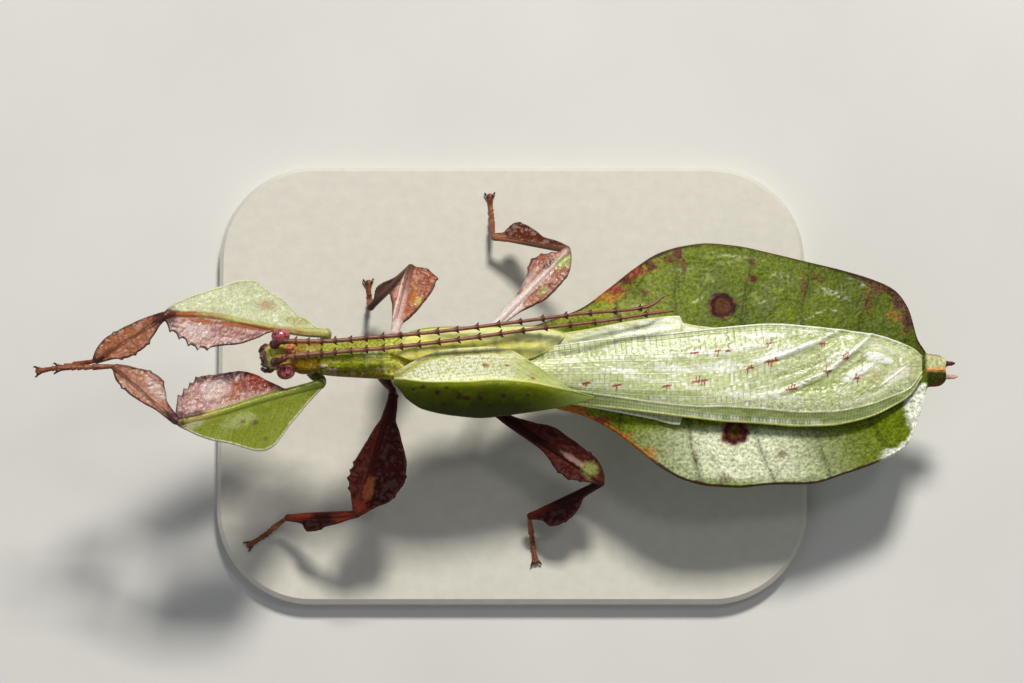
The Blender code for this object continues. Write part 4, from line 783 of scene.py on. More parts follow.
# The legs. Joints are (x, y, height above the soles). Lobe edges are (distance from the limb's start, width),
# left and right as seen from above when looking along the limb. A shaft is (distance, offset to the left),
# and straight where none is given. Teeth are (distance, height).
STRAIGHT = [(0, 0.0), (1, 0.0)]
LEGS = {
    "fore_right": {
        "joints": [(-16.9, 2.4, 14.8), (-31.4, 3.2, 20.3), (-37.8, -0.9, 19.6), (-42.8, -1.7, 19.0)],
        "coxa": [
            (-18.5, 0.85, 14.6), (-18.2, 1.2, 14.1), (-17.2, 1.9, 13.9), (-16.3, 2.4, 14.1),
            (-16.4, 2.4, 14.6),
        ],
        "femur": {
            "left": [
                (0, 0.4), (5.0, 0.4), (5.9, 0.7), (6.5, 1.1), (7.6, 1.6), (8.7, 2.0), (10.3, 2.3),
                (11.5, 2.6), (12.6, 2.5), (13.5, 2.0), (14.7, 1.3), (15.4, 0.5),
            ],
            "right": [
                (0, 0.35), (1.0, 0.5), (2.0, 1.0), (3.3, 1.7), (4.5, 2.7), (6.3, 3.6), (7.4, 4.2),
                (8.7, 4.0), (10.3, 3.3), (12.5, 2.4), (14.6, 1.2), (15.4, 0.5),
            ],
            "shaft": [(0, 0.0), (1.3, 0.1), (3.7, 0.2), (6.6, 0.0), (11.2, -0.4), (15.4, -0.1)],
            "radius": (0.4, 0.32),
            "teeth": {"left": [(11.3, 0.35), (12.2, 0.5), (13.1, 0.5), (14.0, 0.5), (14.9, 0.6)]},
        },
        "tibia": {
            "left": [(0, 0.35), (0.8, 0.5), (1.9, 1.0), (3.5, 1.5), (4.8, 1.4), (6.1, 0.8), (7.6, 0.3)],
            "right": [(0, 0.4), (1.9, 0.9), (4.0, 1.2), (5.6, 1.3), (6.7, 1.0), (7.6, 0.4)],
            "radius": (0.32, 0.3),
            "teeth": {"left": [(2.6, 0.25), (4.2, 0.25), (5.5, 0.25)], "right": [(4.8, 0.2)]},
        },
    },
    "fore_left": {
        "joints": [(-17.4, -2.3, 15.3), (-30.3, -6.4, 19.4), (-35.9, -1.6, 21.0), (-40.8, -1.8, 21.2)],
        "coxa": [
            (-18.5, -0.85, 14.6), (-18.3, -1.2, 14.1), (-17.6, -1.9, 13.9), (-16.8, -2.4, 14.3),
            (-16.9, -2.35, 14.9),
        ],
        "femur": {
            "left": [
                (0, 0.4), (1.0, 1.0), (2.4, 1.9), (4.2, 3.1), (6.2, 4.5), (6.9, 4.7), (7.7, 4.5),
                (8.7, 4.0), (9.9, 3.3), (11.5, 2.5), (12.7, 1.7), (14.1, 0.5),
            ],
            "right": [
                (0, 0.4), (3.4, 0.4), (4.1, 0.9), (4.8, 1.5), (5.9, 2.5), (6.9, 3.0), (8.0, 3.2),
                (9.4, 3.3), (10.6, 3.5), (11.6, 3.1), (12.6, 2.5), (13.5, 1.8), (14.1, 0.6),
            ],
            "shaft": [(0, 0.0), (5.3, 0.0), (10.6, 0.2), (14.1, 0.1)],
            "radius": (0.4, 0.32),
            "teeth": {"right": [(11.2, 0.4), (11.9, 0.4), (12.6, 0.5), (13.3, 0.5)]},
        },
        "tibia": {
            "left": [(0, 0.4), (2.0, 0.5), (3.4, 0.8), (5.0, 1.0), (6.5, 0.9), (7.6, 0.3)],
            "right": [
                (0, 0.35), (1.9, 0.8), (2.6, 1.4), (3.8, 2.0), (4.9, 1.8), (5.9, 1.3), (6.7, 0.9),
                (7.6, 0.3),
            ],
            "radius": (0.32, 0.3),
            "teeth": {"right": [(3.3, 0.2), (4.9, 0.2)], "left": [(5.8, 0.2)]},
        },
    },
    "mid_right": {
        "joints": [(-10.9, 2.4, 13.0), (-9.4, 9.8, 8.1), (-13.5, 6.8, 2.5), (-13.7, 9.5, 0.4)],
        "coxa": [(-11.9, 0.95, 13.85), (-11.9, 1.1, 13.3), (-11.4, 1.6, 12.9), (-10.9, 2.2, 13.0)],
        "femur": {
            "left": [(0, 0.35), (1.5, 0.5), (3.8, 0.9), (5.3, 1.3), (6.1, 1.0), (7.4, 0.6), (9.0, 0.35)],
            "right": [
                (0, 0.35), (1.7, 0.5), (2.6, 1.0), (4.2, 1.7), (5.4, 2.1), (6.8, 2.5), (8.2, 2.6),
                (9.0, 1.6),
            ],
            "radius": (0.38, 0.3),
            "teeth": {"right": [(8.2, 0.2)], "left": [(5.3, 0.25), (6.6, 0.2)]},
        },
        "tibia": {
            "left": [(0, 0.35), (7.6, 0.3)],
            "right": [
                (0, 0.35), (2.1, 0.4), (3.2, 0.6), (4.3, 0.9), (5.1, 1.0), (5.7, 0.8), (6.4, 0.4),
                (7.6, 0.3),
            ],
            "radius": (0.3, 0.28),
        },
    },
    "mid_left": {
        "joints": [(-10.9, -3.0, 13.0), (-14.3, -13.5, 8.1), (-21.2, -13.2, 2.5), (-24.7, -15.4, 0.4)],
        "coxa": [(-11.9, -0.95, 13.85), (-11.9, -1.1, 13.3), (-11.5, -1.9, 12.9), (-11.0, -2.75, 13.0)],
        "femur": {
            "left": [
                (0, 0.4), (1.2, 0.7), (2.3, 0.9), (3.2, 1.5), (4.6, 2.3), (5.7, 2.9), (6.8, 3.2),
                (7.6, 3.3), (8.8, 3.0), (9.8, 2.6), (11.0, 1.3), (12.0, 0.4),
            ],
            "right": [
                (0, 0.4), (2.5, 0.5), (3.5, 0.8), (5.1, 1.2), (7.3, 1.7), (8.8, 1.8), (9.9, 1.4),
                (10.8, 1.0), (12.0, 0.5),
            ],
            "radius": (0.42, 0.32),
            "teeth": {
                "right": [(7.4, 0.25), (8.2, 0.25), (9.0, 0.25), (9.9, 0.3)],
                "left": [(7.2, 0.2), (9.4, 0.2)],
            },
        },
        "tibia": {
            "left": [
                (0, 0.35), (1.0, 0.5), (2.4, 0.8), (4.3, 1.1), (5.4, 1.4), (6.3, 1.4), (6.9, 0.7),
                (8.9, 0.3),
            ],
            "right": [(0, 0.35), (6.1, 0.4), (8.9, 0.3)],
            "radius": (0.3, 0.28),
            "teeth": {"left": [(4.6, 0.15)]},
        },
    },
    "hind_right": {
        "joints": [(-1.9, 3.6, 10.3), (5.3, 11.6, 7.0), (-1.8, 13.8, 2.3), (-2.1, 17.9, 0.4)],
        "coxa": [(-2.6, 1.2, 11.0), (-2.6, 1.5, 10.5), (-2.5, 2.3, 10.1), (-2.1, 3.3, 10.25)],
        "femur": {
            "left": [
                (0, 0.35), (2.2, 0.5), (4.5, 0.6), (5.6, 0.9), (6.5, 1.2), (7.0, 1.5), (7.8, 1.8),
                (8.5, 1.7), (9.5, 1.2), (10.3, 0.6), (11.2, 0.35),
            ],
            "right": [
                (0, 0.35), (1.5, 0.6), (3.2, 0.9), (4.7, 1.4), (6.3, 1.8), (7.6, 1.8), (9.0, 1.7),
                (10.2, 1.2), (11.2, 0.4),
            ],
            "radius": (0.38, 0.3),
            "teeth": {"left": [(7.1, 0.2), (8.0, 0.2), (9.0, 0.25), (9.9, 0.25)]},
        },
        "tibia": {
            "left": [(0, 0.35), (8.8, 0.3)],
            "right": [
                (0, 0.35), (1.7, 0.7), (3.0, 0.8), (4.3, 1.3), (5.6, 1.7), (6.5, 1.8), (7.2, 1.4),
                (7.6, 0.6), (8.8, 0.3),
            ],
            "shaft": [(0, 0.0), (3.8, 0.0), (8.8, 0.1)],
            "radius": (0.3, 0.28),
            "teeth": {"right": [(6.3, 0.15)]},
        },
    },
    "hind_left": {
        "joints": [(-1.6, -4.2, 10.3), (8.4, -10.4, 7.0), (1.6, -13.1, 2.5), (2.2, -16.9, 0.4)],
        "coxa": [(-2.6, -1.2, 11.0), (-2.6, -1.5, 10.5), (-2.5, -2.6, 10.1), (-1.9, -3.95, 10.25)],
        "femur": {
            "left": [
                (0, 0.35), (1.7, 0.6), (3.6, 1.2), (5.9, 1.9), (7.8, 1.8), (9.7, 1.7), (10.4, 1.6),
                (11.2, 1.2), (12.0, 0.5),
            ],
            "right": [
                (0, 0.35), (1.5, 0.5), (5.3, 0.6), (6.8, 1.0), (7.7, 1.4), (8.9, 1.5), (10.0, 1.1),
                (11.2, 0.6), (12.0, 0.35),
            ],
            "radius": (0.38, 0.3),
            "teeth": {"right": [(8.0, 0.2), (9.2, 0.2), (10.2, 0.2)], "left": [(9.6, 0.2)]},
        },
        "tibia": {
            "left": [
                (0, 0.35), (2.4, 0.6), (3.2, 1.2), (4.2, 1.7), (5.9, 1.9), (6.9, 1.7), (7.4, 0.9),
                (8.6, 0.3),
            ],
            "right": [(0, 0.35), (8.6, 0.3)],
            "radius": (0.3, 0.28),
            "teeth": {"left": [(5.2, 0.15)]},
        },
    },
}

TARSUS_SEGMENTS = 5
CLAW_LENGTH, CLAW_SPREAD = 0.8, 0.5
TARSUS_STOPS = np.array([0, 0.42, 0.58, 0.7, 0.8, 1.0])
LOBE_HALF = 0.15  # half the thickness of a limb's leaf-like lobes
LOBE_RIM = 0.16
LIMB_ROW = 0.075
WIDE_COLUMNS, NARROW_COLUMNS = 84, 56
CAP_START, CAP_LENGTH = 0.3, 0.62  # how a limb rounds off past its ends
COXA_POINTS = 40
GIRTH_AT = [0, 0.35, 0.62, 0.7, 0.85, 1]
FORE_GIRTH = [0.56, 0.52, 0.42, 0.38, 0.38, 0.3]
GIRTH = [0.6, 0.62, 0.4, 0.36, 0.42, 0.3]
SMOOTH_LOBES = ("femur_fore_right", "femur_fore_left")
DARK_LIMBS = ("femur_mid_left", "tibia_mid_left", "femur_hind_left", "tibia_hind_left")


def lifted(point):
    return np.array([point[0], point[1], point[2] + GROUND])


class Limb:
    """The straight frame of a leaf-edged limb: along it, to its left seen from above, and up."""

    def __init__(self, name, start, end, spec):
        self.name, self.start, self.spec = name, start, spec
        self.axis = unit(end - start)
        self.length = float(np.linalg.norm(end - start))
        self.up = unit(np.array([0.0, 0.0, 1.0]) - self.axis[2] * self.axis)
        self.side = np.cross(self.up, self.axis)
        self.scale = self.length / spec["left"][-1][0]

    def place(self, s, w, h):
        s, w, h = np.broadcast_arrays(s, w, h)
        return self.start + s[..., None] * self.axis + w[..., None] * self.side + h[..., None] * self.up

    def find(self, points):
        away = points - self.start
        return away @ self.axis, away @ self.side, away @ self.up

    def plain_edge(self, key, s):
        return smooth([(at * self.scale, width) for at, width in self.spec[key]], s)

    def edge(self, key, s):
        """How far the lobe reaches on one side, teeth included."""
        reach = self.plain_edge(key, s)
        for at, height in self.spec.get("teeth", {}).get(key, []):
            reach += 0.75 * height * np.clip(1 - np.abs(s - at * self.scale) / 0.3, 0, 1) ** 1.3
        scallop = 0.05 * noise(np.stack([s, 0 * s + (7.0 if key == "left" else 3.0)], axis=-1), 0.45, 51)
        return reach + scallop * ease(reach, 0.6, 1.5)

    def shaft(self, s):
        """Where the round shaft runs, and how thick it is."""
        offset = smooth([(at * self.scale, shift) for at, shift in self.spec.get("shaft", STRAIGHT)], s)
        radius = np.interp(s / self.length, [0, 1], self.spec["radius"])
        ends = bump(s, 0.35) + bump(s - self.length + 0.25, 0.4)
        wide = self.plain_edge("left", s) + self.plain_edge("right", s)
        sunk = 0.0 if self.name == "femur_fore_left" else 0.28
        return offset, radius * (1 + 0.2 * ends) * (1 - sunk * ease(wide, 1.2, 2.6))


def limb_shape(limb, before, after):
    """A round shaft that carries a thin, veined and wrinkled lobe on each side."""
    s = np.arange(-before, limb.length + after, LIMB_ROW)[:, None]
    offset, radius = limb.shaft(np.clip(s, 0, limb.length))
    inside = np.clip(s, 0, limb.length)
    past = np.maximum(-s, s - limb.length)
    rounded = 1 - (np.clip(past + CAP_START, 0, 2 * CAP_START) / CAP_LENGTH) ** 2
    closing = np.sqrt(np.clip(rounded, 0.02, 1)) / math.sqrt(1 - (CAP_START / CAP_LENGTH) ** 2)
    closing = np.minimum(closing, 1)
    reaches = {}
    for key, clear in (("left", offset + radius), ("right", radius - offset)):
        reaches[key] = np.maximum(limb.edge(key, inside), clear * 0.98 + 0.02) * closing
    count = WIDE_COLUMNS if max(reaches["left"].max(), reaches["right"].max()) > 1.5 else NARROW_COLUMNS
    a = np.linspace(-1, 1, count)
    spread = np.sign(a) * (0.5 * np.abs(a) + 0.5 * a * a * (3 - 2 * np.abs(a)))
    offset, radius = offset * closing, radius * closing
    left, right = reaches["left"], reaches["right"]
    w = offset + np.where(spread > 0, spread * (left - offset), spread * (right + offset))
    edge = np.where(spread > 0, left - w, right + w)
    round_off = round_edge(edge, LOBE_RIM)
    out = np.abs(w - offset)
    pole = np.sqrt(np.clip(radius**2 - (w - offset) ** 2, 0, None))
    thin = LOBE_HALF * (1 - 0.35 * np.clip(out / 3, 0, 1)) + 0.05 * bump(edge - 0.12, 0.1)
    half = (pole**3 + (thin * round_off * closing) ** 3) ** (1 / 3)
    flat = plan(s + 0 * w, w)
    lobed = ease(out - radius, 0.05, 0.6)
    middle = lobed * (0.09 * noise(flat, 1.5, 61) - 0.02 * out)
    folds = wrinkles(limb, s + 0 * w, w, offset)
    high = middle + half + lobed * round_off * folds + 0.012 * noise(flat, 0.2, 62)
    low = middle - half + lobed * round_off * folds * 0.6
    return sheet(limb.place(s, w, high), limb.place(s, w, low))


def lobe_pucker(flat):
    return crinkle(flat * 1.35)


def crinkle(flat, seed=70):
    """The crumpling of a dried leaf, from about -1 in its creases to 1 on its puckers."""
    bent = flat + 0.12 * np.stack([noise(flat, 0.5, seed + 5), noise(flat, 0.5, seed + 6)], axis=-1)
    creases = np.abs(noise(bent, 0.55, seed)) + 0.5 * np.abs(noise(bent, 0.26, seed + 1))
    return np.clip(2.2 * creases - 0.9, -1, 1)


def wrinkles(limb, s, w, offset):
    """Crumpling all over, with a few weak side veins that leave the shaft aslant."""
    out = np.abs(w - offset)
    slanted = s - 0.75 * out + 0.25 * noise(plan(s, w), 1.1, 73)
    green = (w < offset) if limb.name.endswith("right") else (w > offset)
    rough = (1 - 0.85 * green * (limb.name in SMOOTH_LOBES)) * (0.6 if limb.name in DARK_LIMBS else 1.0)
    flat = plan(s, w)
    vein = bump(off_grid(slanted, 1.3), 0.1)
    return 0.03 * vein + rough * 0.075 * lobe_pucker(flat) + 0.015 * noise(flat, 0.17, 74)


def tarsus_path(ankle, tip, on_ground):
    """The foot's route, and the way that it points."""
    direction = unit(tip - ankle)
    if not on_ground:
        return curve_through([ankle - 0.2 * direction, (ankle + tip) / 2, tip], 61), direction
    flat_way = unit(direction * [1, 1, 0])
    pad = np.array([tip[0], tip[1], FLOOR_OF_FEET + 0.27])
    sole = pad - flat_way * 1.3
    route = [ankle - 0.2 * direction, (ankle + sole) / 2 + [0, 0, 0.1], sole, pad]
    return curve_through(route, 61), flat_way


def tarsus_shapes(ankle, tip, on_ground):
    """Five foot joints, each widest at its far end, a soft pad, and separately two claws."""
    path, way = tarsus_path(ankle, tip, on_ground)
    floor = FLOOR_OF_FEET if on_ground else None
    at = np.linspace(0, 1, len(path))
    which = np.clip(np.searchsorted(TARSUS_STOPS, at, side="right") - 1, 0, TARSUS_SEGMENTS - 1)
    within = (at - TARSUS_STOPS[which]) / np.diff(TARSUS_STOPS)[which]
    radii = 0.2 + 0.1 * within**1.6 - 0.05 * bump(within, 0.12)
    radii = np.where(which == TARSUS_SEGMENTS - 1, 0.19 + 0.08 * within, radii)
    foot = tube(path, radii, 18, floor)
    across = unit(np.cross(way, [0.0, 0.0, 1.0]))
    up = np.cross(across, way)
    pad_centre = path[-1] + way * 0.12
    pad = ball(pad_centre, (0.36, 0.34, 0.25), [way, across, up], 16, 24)
    if floor is not None:
        pad[0][:, 2] = np.maximum(pad[0][:, 2], floor)
    claws = []
    for turn in (1, -1):
        root = path[-1] - way * 0.12 + across * turn * 0.14
        knuckle = path[-1] + way * 0.26 + across * turn * CLAW_SPREAD * 0.62 + [0, 0, 0.1]
        bend = path[-1] + way * CLAW_LENGTH * 0.62 + across * turn * CLAW_SPREAD * 0.95 + [0, 0, 0.02]
        point = path[-1] + way * CLAW_LENGTH * 0.78 + across * turn * CLAW_SPREAD * 0.8 - [0, 0, 0.14]
        claw_path = curve_through([root, knuckle, bend, point], 18)
        thick = np.interp(np.linspace(0, 1, 18), [0, 0.3, 0.8, 1], [0.12, 0.13, 0.07, 0.015])
        claws.append(tube(claw_path, thick, 12, floor))
    return [foot, pad], claws


def coxa_thorns(path, radii):
    """Short blunt thorns down the outer side of a fore leg's first joint."""
    thorns = []
    for at in range(9, 34, 4):
        way = unit(path[at + 1] - path[at - 1])
        out = unit(np.cross(way, [0.0, 0.0, 1.0]) * np.sign(path[at][1]) * np.sign(-way[0] or 1))
        out = unit(out * [1, 1, 0] + [0, 0, 0.7])
        out = out if out[1] * path[at][1] > 0 else out * [-1, -1, 1]
        tip = path[at] + (radii[at] + 0.16) * out
        thorns.append(tube(np.linspace(path[at], tip, 4), np.array([0.2, 0.18, 0.12, 0.04]), 10))
    return thorns


def leg_parts():
    """Named shapes of the skin, limb frames for painting, and the claws."""
    parts, limbs, claws = [], {}, []
    for leg, spec in LEGS.items():
        hip, knee, ankle, tip = (lifted(joint) for joint in spec["joints"])
        fore = leg.startswith("fore")
        route = [lifted(point) for point in spec["coxa"]]
        if fore:
            route = [route[0], route[1], route[2] + [0.1, 0, 0.2], hip - 0.4 * BODY_Z, hip]
        route.append(hip + 0.4 * unit(knee - hip))
        route[0] = route[0] + [0, 0, 0.3]
        path = curve_through(route, COXA_POINTS)
        radii = np.interp(np.linspace(0, 1, COXA_POINTS), GIRTH_AT, FORE_GIRTH if fore else GIRTH)
        parts.append(("coxa_" + leg, tube(path, radii, 24)))
        parts += [("coxa_" + leg, thorn) for thorn in coxa_thorns(path, radii) if fore]
        femur = Limb("femur_" + leg, hip, knee, spec["femur"])
        tibia = Limb("tibia_" + leg, knee, ankle, spec["tibia"])
        limbs[femur.name], limbs[tibia.name] = femur, tibia
        parts.append((femur.name, limb_shape(femur, 0.15, 0.1)))
        parts.append((tibia.name, limb_shape(tibia, 0.1, 0.1)))
        foot, nails = tarsus_shapes(ankle, tip, not fore)
        parts += [("tarsus_" + leg, shape) for shape in foot]
        claws += nails
    return parts, limbs, claws


# Joining the skin


def union(parts):
    """One closed mesh from overlapping closed shapes. Each face remembers the part it came from."""
    names = sorted({name for name, _ in parts})
    made = []
    for name, shape in parts:
        piece = add_piece(name, shape)
        mark = piece.data.attributes.new("part", "INT", "FACE")
        mark.data.foreach_set("value", np.full(len(piece.data.polygons), names.index(name), np.int32))
        made.append(piece)
    base, tools = made[0], made[1:]
    group = bpy.data.collections.new("tools")
    bpy.context.scene.collection.children.link(group)
    for tool in tools:
        bpy.context.scene.collection.objects.unlink(tool)
        group.objects.link(tool)
    boolean = base.modifiers.new("union", "BOOLEAN")
    boolean.operation = "UNION"
    boolean.solver = "MANIFOLD"
    boolean.operand_type = "COLLECTION"
    boolean.collection = group
    bpy.context.view_layer.update()
    shown = base.evaluated_get(bpy.context.evaluated_depsgraph_get())
    mesh = bpy.data.meshes.new_from_object(shown)
    for piece in made:
        bpy.data.objects.remove(piece)
    bpy.data.collections.remove(group)
    return mesh, names


def arrays_of(mesh):
    """Points in millimetres, triangles without doubles, and the part number of each triangle."""
    mesh.calc_loop_triangles()
    faces = np.empty(len(mesh.loop_triangles) * 3, np.int32)
    mesh.loop_triangles.foreach_get("vertices", faces)
    owner = np.empty(len(mesh.loop_triangles), np.int32)
    mesh.loop_triangles.foreach_get("polygon_index", owner)
    part = np.empty(len(mesh.polygons), np.int32)
    mesh.attributes["part"].data.foreach_get("value", part)
    faces = faces.reshape(-1, 3)
    order = np.sort(faces, axis=1)
    _, keep = np.unique(order, axis=0, return_index=True)
    keep = np.sort(keep)
    keep = keep[(order[keep, 0] != order[keep, 1]) & (order[keep, 1] != order[keep, 2])]
    return points_of(mesh), faces[keep], part[owner][keep]


def soften_joins(points, faces, part, rings=3, rounds=12):
    """Rounds off the creases where two parts of the skin meet."""
    low = np.full(len(points), 10**6)
    high = np.full(len(points), -1)
    for corner in range(3):
        np.minimum.at(low, faces[:, corner], part)
        np.maximum.at(high, faces[:, corner], part)
    share = (low != high).astype(float)
    ends = np.concatenate([faces[:, [0, 1]], faces[:, [1, 2]], faces[:, [2, 0]]])
    count = np.bincount(ends[:, 0], minlength=len(points)) + np.bincount(ends[:, 1], minlength=len(points))

    def average(values):
        total = np.bincount(ends[:, 0], values[ends[:, 1]], len(points))
        total += np.bincount(ends[:, 1], values[ends[:, 0]], len(points))
        return total / np.maximum(count, 1)

    for _ in range(rings):
        share = np.maximum(share, np.where(average(share) > 0, 0.8 * average(share) + 0.2, 0))
    share = np.clip(share, 0, 1)
    for _ in range(rounds):
        mean = np.stack([average(points[:, axis]) for axis in range(3)], axis=1)
        points = points + 0.5 * share[:, None] * (mean - points)
    return points


# The hind wings: front to rear outlines in the body frame
LEFT_WING_INNER = [
    (-4.4, 0.4), (-1, 0.7), (2.4, 1.3), (8.3, 2.2), (14.3, 2.8), (19.1, 3.4), (24.8, 3.9), (28.2, 3.7),
    (32.2, 3.3), (34.5, 3.0), (36.2, 2.5), (37.7, 1.9), (38.5, 1.2),
]
LEFT_WING_OUTER = [
    (-4.4, -2.4), (-1, -2.7), (2.4, -3.4), (6.5, -3.9), (12.5, -4.6), (16.7, -5.1), (20, -5.4), (22.7, -5.5),
    (26.9, -5.7), (29.7, -5.6), (31.8, -5.2), (33.8, -4.6), (35.6, -3.7), (37.3, -2.6), (38.5, -0.9),
]
LEFT_WING_HEIGHT = [(-4.4, 0.7), (-1.4, 1.5), (4, 1.55), (32, 1.5), (38.5, 1.1)]
RIGHT_WING_OUTER = [
    (-2.6, 2.4), (2.5, 2.7), (7.2, 3.3), (12, 4.2), (15.7, 4.6), (16.1, 3.9), (21, 3.4), (30, 2.9), (35, 2.0),
    (37, 1.0),
]
RIGHT_WING_INNER = [
    (-2.6, 1.0), (-0.8, 1.0), (0.2, -1.0), (1.6, -2.6), (7, -3.9), (13.1, -5.1), (15.7, -5.65), (16.1, -4.6),
    (24, -4.6), (31, -4.0), (35, -2.6), (37, -1.0),
]
RIGHT_WING_HEIGHT = [(-2.6, 0.6), (0, 0.72), (37, 0.7)]
WING_ROW = 0.065
WING_HALF = 0.05  # half the thickness of the membrane
WING_FRONT = 2.0  # where the veins fan out from
LEFT_WING_COLUMNS, RIGHT_WING_COLUMNS = (150, 60), (110, 50)  # above and below
LEFT_WING_HANG, RIGHT_WING_HANG = (0.5, 2.8), (0.3, 1.7)  # how far its edges hang, and how far in that starts
BAND_WIDTH = [
    (-4, 1.1), (2, 1.2), (8.5, 1.05), (13, 0.95), (17, 1.05), (20, 1.34), (28, 1.28), (34, 1.15),
    (38.5, 0.5),
]

# Veins: share of the way from the outer to the inner edge at the root, x where it meets the inner edge, and
# how late it turns towards it
VEINS = [
    (0.07, 37.0, 12.0), (0.1, 35.5, 8.0), (0.14, 33.8, 5.0), (0.2, 33.0, 4.4), (0.26, 32.0, 3.8),
    (0.33, 30.9, 3.0), (0.47, 29.9, 4.2), (0.56, 29.3, 5.5), (0.65, 28.7, 7.0), (0.735, 28.0, 8.0),
]
PALE_VEINS = (2, 5)  # the two that stand out as pale folds towards the rear
CROSS_SPACING = 0.56
TICK_SPACING = 0.28

# Dark red marks: x, y, half length and how many ticks cross it
RED_MARKS = [
    (6.9, -2.04, 0.34, 1), (9.7, -2.22, 0.38, 1), (14.3, -2.22, 0.45, 1), (17.4, -1.75, 0.75, 4),
    (22.0, -0.46, 0.36, 2), (24.1, 0.24, 0.6, 3), (25.9, -2.34, 0.55, 3), (29.0, 2.02, 0.34, 2),
    (29.3, -0.59, 0.34, 2), (31.0, 0.61, 0.36, 3), (32.1, -1.19, 0.32, 2), (23.8, 1.92, 0.26, 1),
    (19.0, 1.12, 0.3, 2), (20.0, 1.14, 0.22, 1), (16.9, 0.89, 0.4, 1),
]

# Crumpled folds, raised and painted with highlights; hollows between them, sunk and painted with shade; and
# painted highlights near the tip, in colour only: x, y, half length, half width, slant, strength
WING_FOLDS = [
    (25.8, 1.3, 3.8, 0.6, 0.3, 1.0), (31.2, 1.15, 2.4, 0.55, 0.55, 1.0), (32.4, -0.6, 1.4, 0.45, 0.5, 1.0),
    (34.4, 0.75, 1.3, 0.5, -0.15, 1.0), (27.6, -1.3, 3.4, 0.12, 0.4, 0.8), (23.4, 2.75, 3.0, 0.3, 0.02, 0.7),
    (29.6, 2.9, 3.4, 0.22, -0.13, 0.7), (19.2, -0.3, 2.4, 0.5, 0.05, 0.8), (15.0, -0.6, 2.6, 0.4, -0.05, 0.6),
    (17.6, 1.0, 2.6, 0.3, 0.03, 0.7), (21.4, 1.5, 2.2, 0.35, 0.15, 0.8), (10.0, -0.9, 2.2, 0.3, -0.05, 0.5),
    (20.2, -2.9, 2.6, 0.3, 0.0, 0.5), (23.6, -3.2, 3.0, 0.25, 0.05, 0.5), (35.6, -0.9, 1.6, 0.14, 0.75, 0.7),
]
WING_HOLLOWS = [
    (27.7, -2.1, 3.2, 0.55, 0.12, 0.95), (32.2, 0.15, 1.8, 0.3, 0.6, 0.8), (25.6, 2.35, 3.0, 0.28, 0.2, 0.6),
    (26.6, -0.5, 3.0, 0.3, 0.35, 0.8), (33.6, -2.4, 1.6, 0.3, 0.45, 0.5), (15.6, -2.9, 5.0, 0.25, -0.03, 0.7),
    (12.6, 1.2, 5.0, 0.3, 0.06, 0.45), (9.4, -2.9, 4.0, 0.3, -0.06, 0.5), (36.6, 0.8, 1.2, 0.5, 0.3, 0.25),
]
TIP_LIGHTS = [
    (36.0, -0.7, 1.7, 0.8, 0.45, 0.8), (34.9, 1.6, 1.8, 0.4, -0.25, 0.6), (33.0, -2.9, 2.4, 0.4, 0.35, 0.5),
]


def patches(x, y, spots, uneven):
    """How deep each point lies within a set of slanted, soft-edged patches, from 0 to 1."""
    total = np.zeros(np.shape(x))
    for cx, cy, long, wide, slant, strength in spots:
        along = x - cx
        away = np.hypot(along / long, (y - cy - slant * along) / wide)
        total = np.maximum(total, strength * fade(away + uneven, 0.45, 1.25))
    return total


class Veins:
    """Where each point of a wing lies in its net of veins."""

    def __init__(self, x, y, outer, inner):
        t = (y - outer) / (inner - outer)
        width = np.abs(inner - outer)
        self.lengthwise = np.full(x.shape, FAR_AWAY)
        self.fold = np.full(x.shape, FAR_AWAY)
        self.strip = np.zeros(x.shape, int)
        for number, (start, end, lateness) in enumerate(VEINS):
            run = np.clip((x - WING_FRONT) / (end - WING_FRONT), 0, 1.2)
            at = start + (1 - start) * run**lateness
            away = (t - at) * width
            self.lengthwise = np.minimum(self.lengthwise, np.abs(away))
            if number in PALE_VEINS:
                self.fold = np.minimum(self.fold, np.abs(away - 0.1))
            self.strip += away >= 0
        self.top_strip = ease(self.strip, len(VEINS) - 1, len(VEINS))
        lean = (0.3 * hashed(self.strip, 3) - 0.1) * (t - 0.5) * width * 0.4
        place = (x + lean) / CROSS_SPACING + hashed(self.strip, 5)
        index = np.round(place)
        jitter = 0.4 * (hashed(index, self.strip, 9) - 0.5)
        self.crosswise = np.abs(place - index - jitter) * CROSS_SPACING
        self.cell = np.floor(place - jitter).astype(int)
        self.puff = ease(self.lengthwise, 0.03, 0.2) * ease(self.crosswise, 0.03, 0.2)


def tick_wave(x):
    """Fine ticks across a wing's outer band."""
    return np.sin(2 * math.pi * (x + 0.06 * np.sin(2.3 * x)) / TICK_SPACING)


def wing_grid(outer_knots, inner_knots, columns):
    first, last = outer_knots[0][0], outer_knots[-1][0]
    x = np.arange(first, last + WING_ROW / 2, WING_ROW)[:, None]
    a = np.linspace(0, 1, columns)
    a = 0.75 * a + 0.25 * a * a * (3 - 2 * a)
    outer, inner = smooth(outer_knots, x), smooth(inner_knots, x)
    y = outer + (inner - outer) * a
    return x + 0 * y, y, outer + 0 * y, inner + 0 * y


def wing_sheet(x, y, outer, inner, height, rise, under_columns, droop, reach):
    """A membrane over the back, with rounded edges that hang a little, and a plainer underside."""
    edge = np.minimum(np.abs(y - outer), np.abs(inner - y))
    ends = np.minimum(x - x[0, 0], x[-1, 0] - x)
    edge = np.minimum(edge, ends * 1.2 + 0.02)
    hang = droop * fade(edge, 0, reach) ** 1.5
    thick = WING_HALF * round_edge(edge, 0.08)
    middle = height - hang + rise
    top = on_body(x, y, above_back(x, y, middle + thick))
    under = on_body(x, y, above_back(x, y, middle - thick))
    keep = np.unique(np.linspace(0, x.shape[1] - 1, under_columns).round().astype(int))
    return sheet(top, under[:, keep])


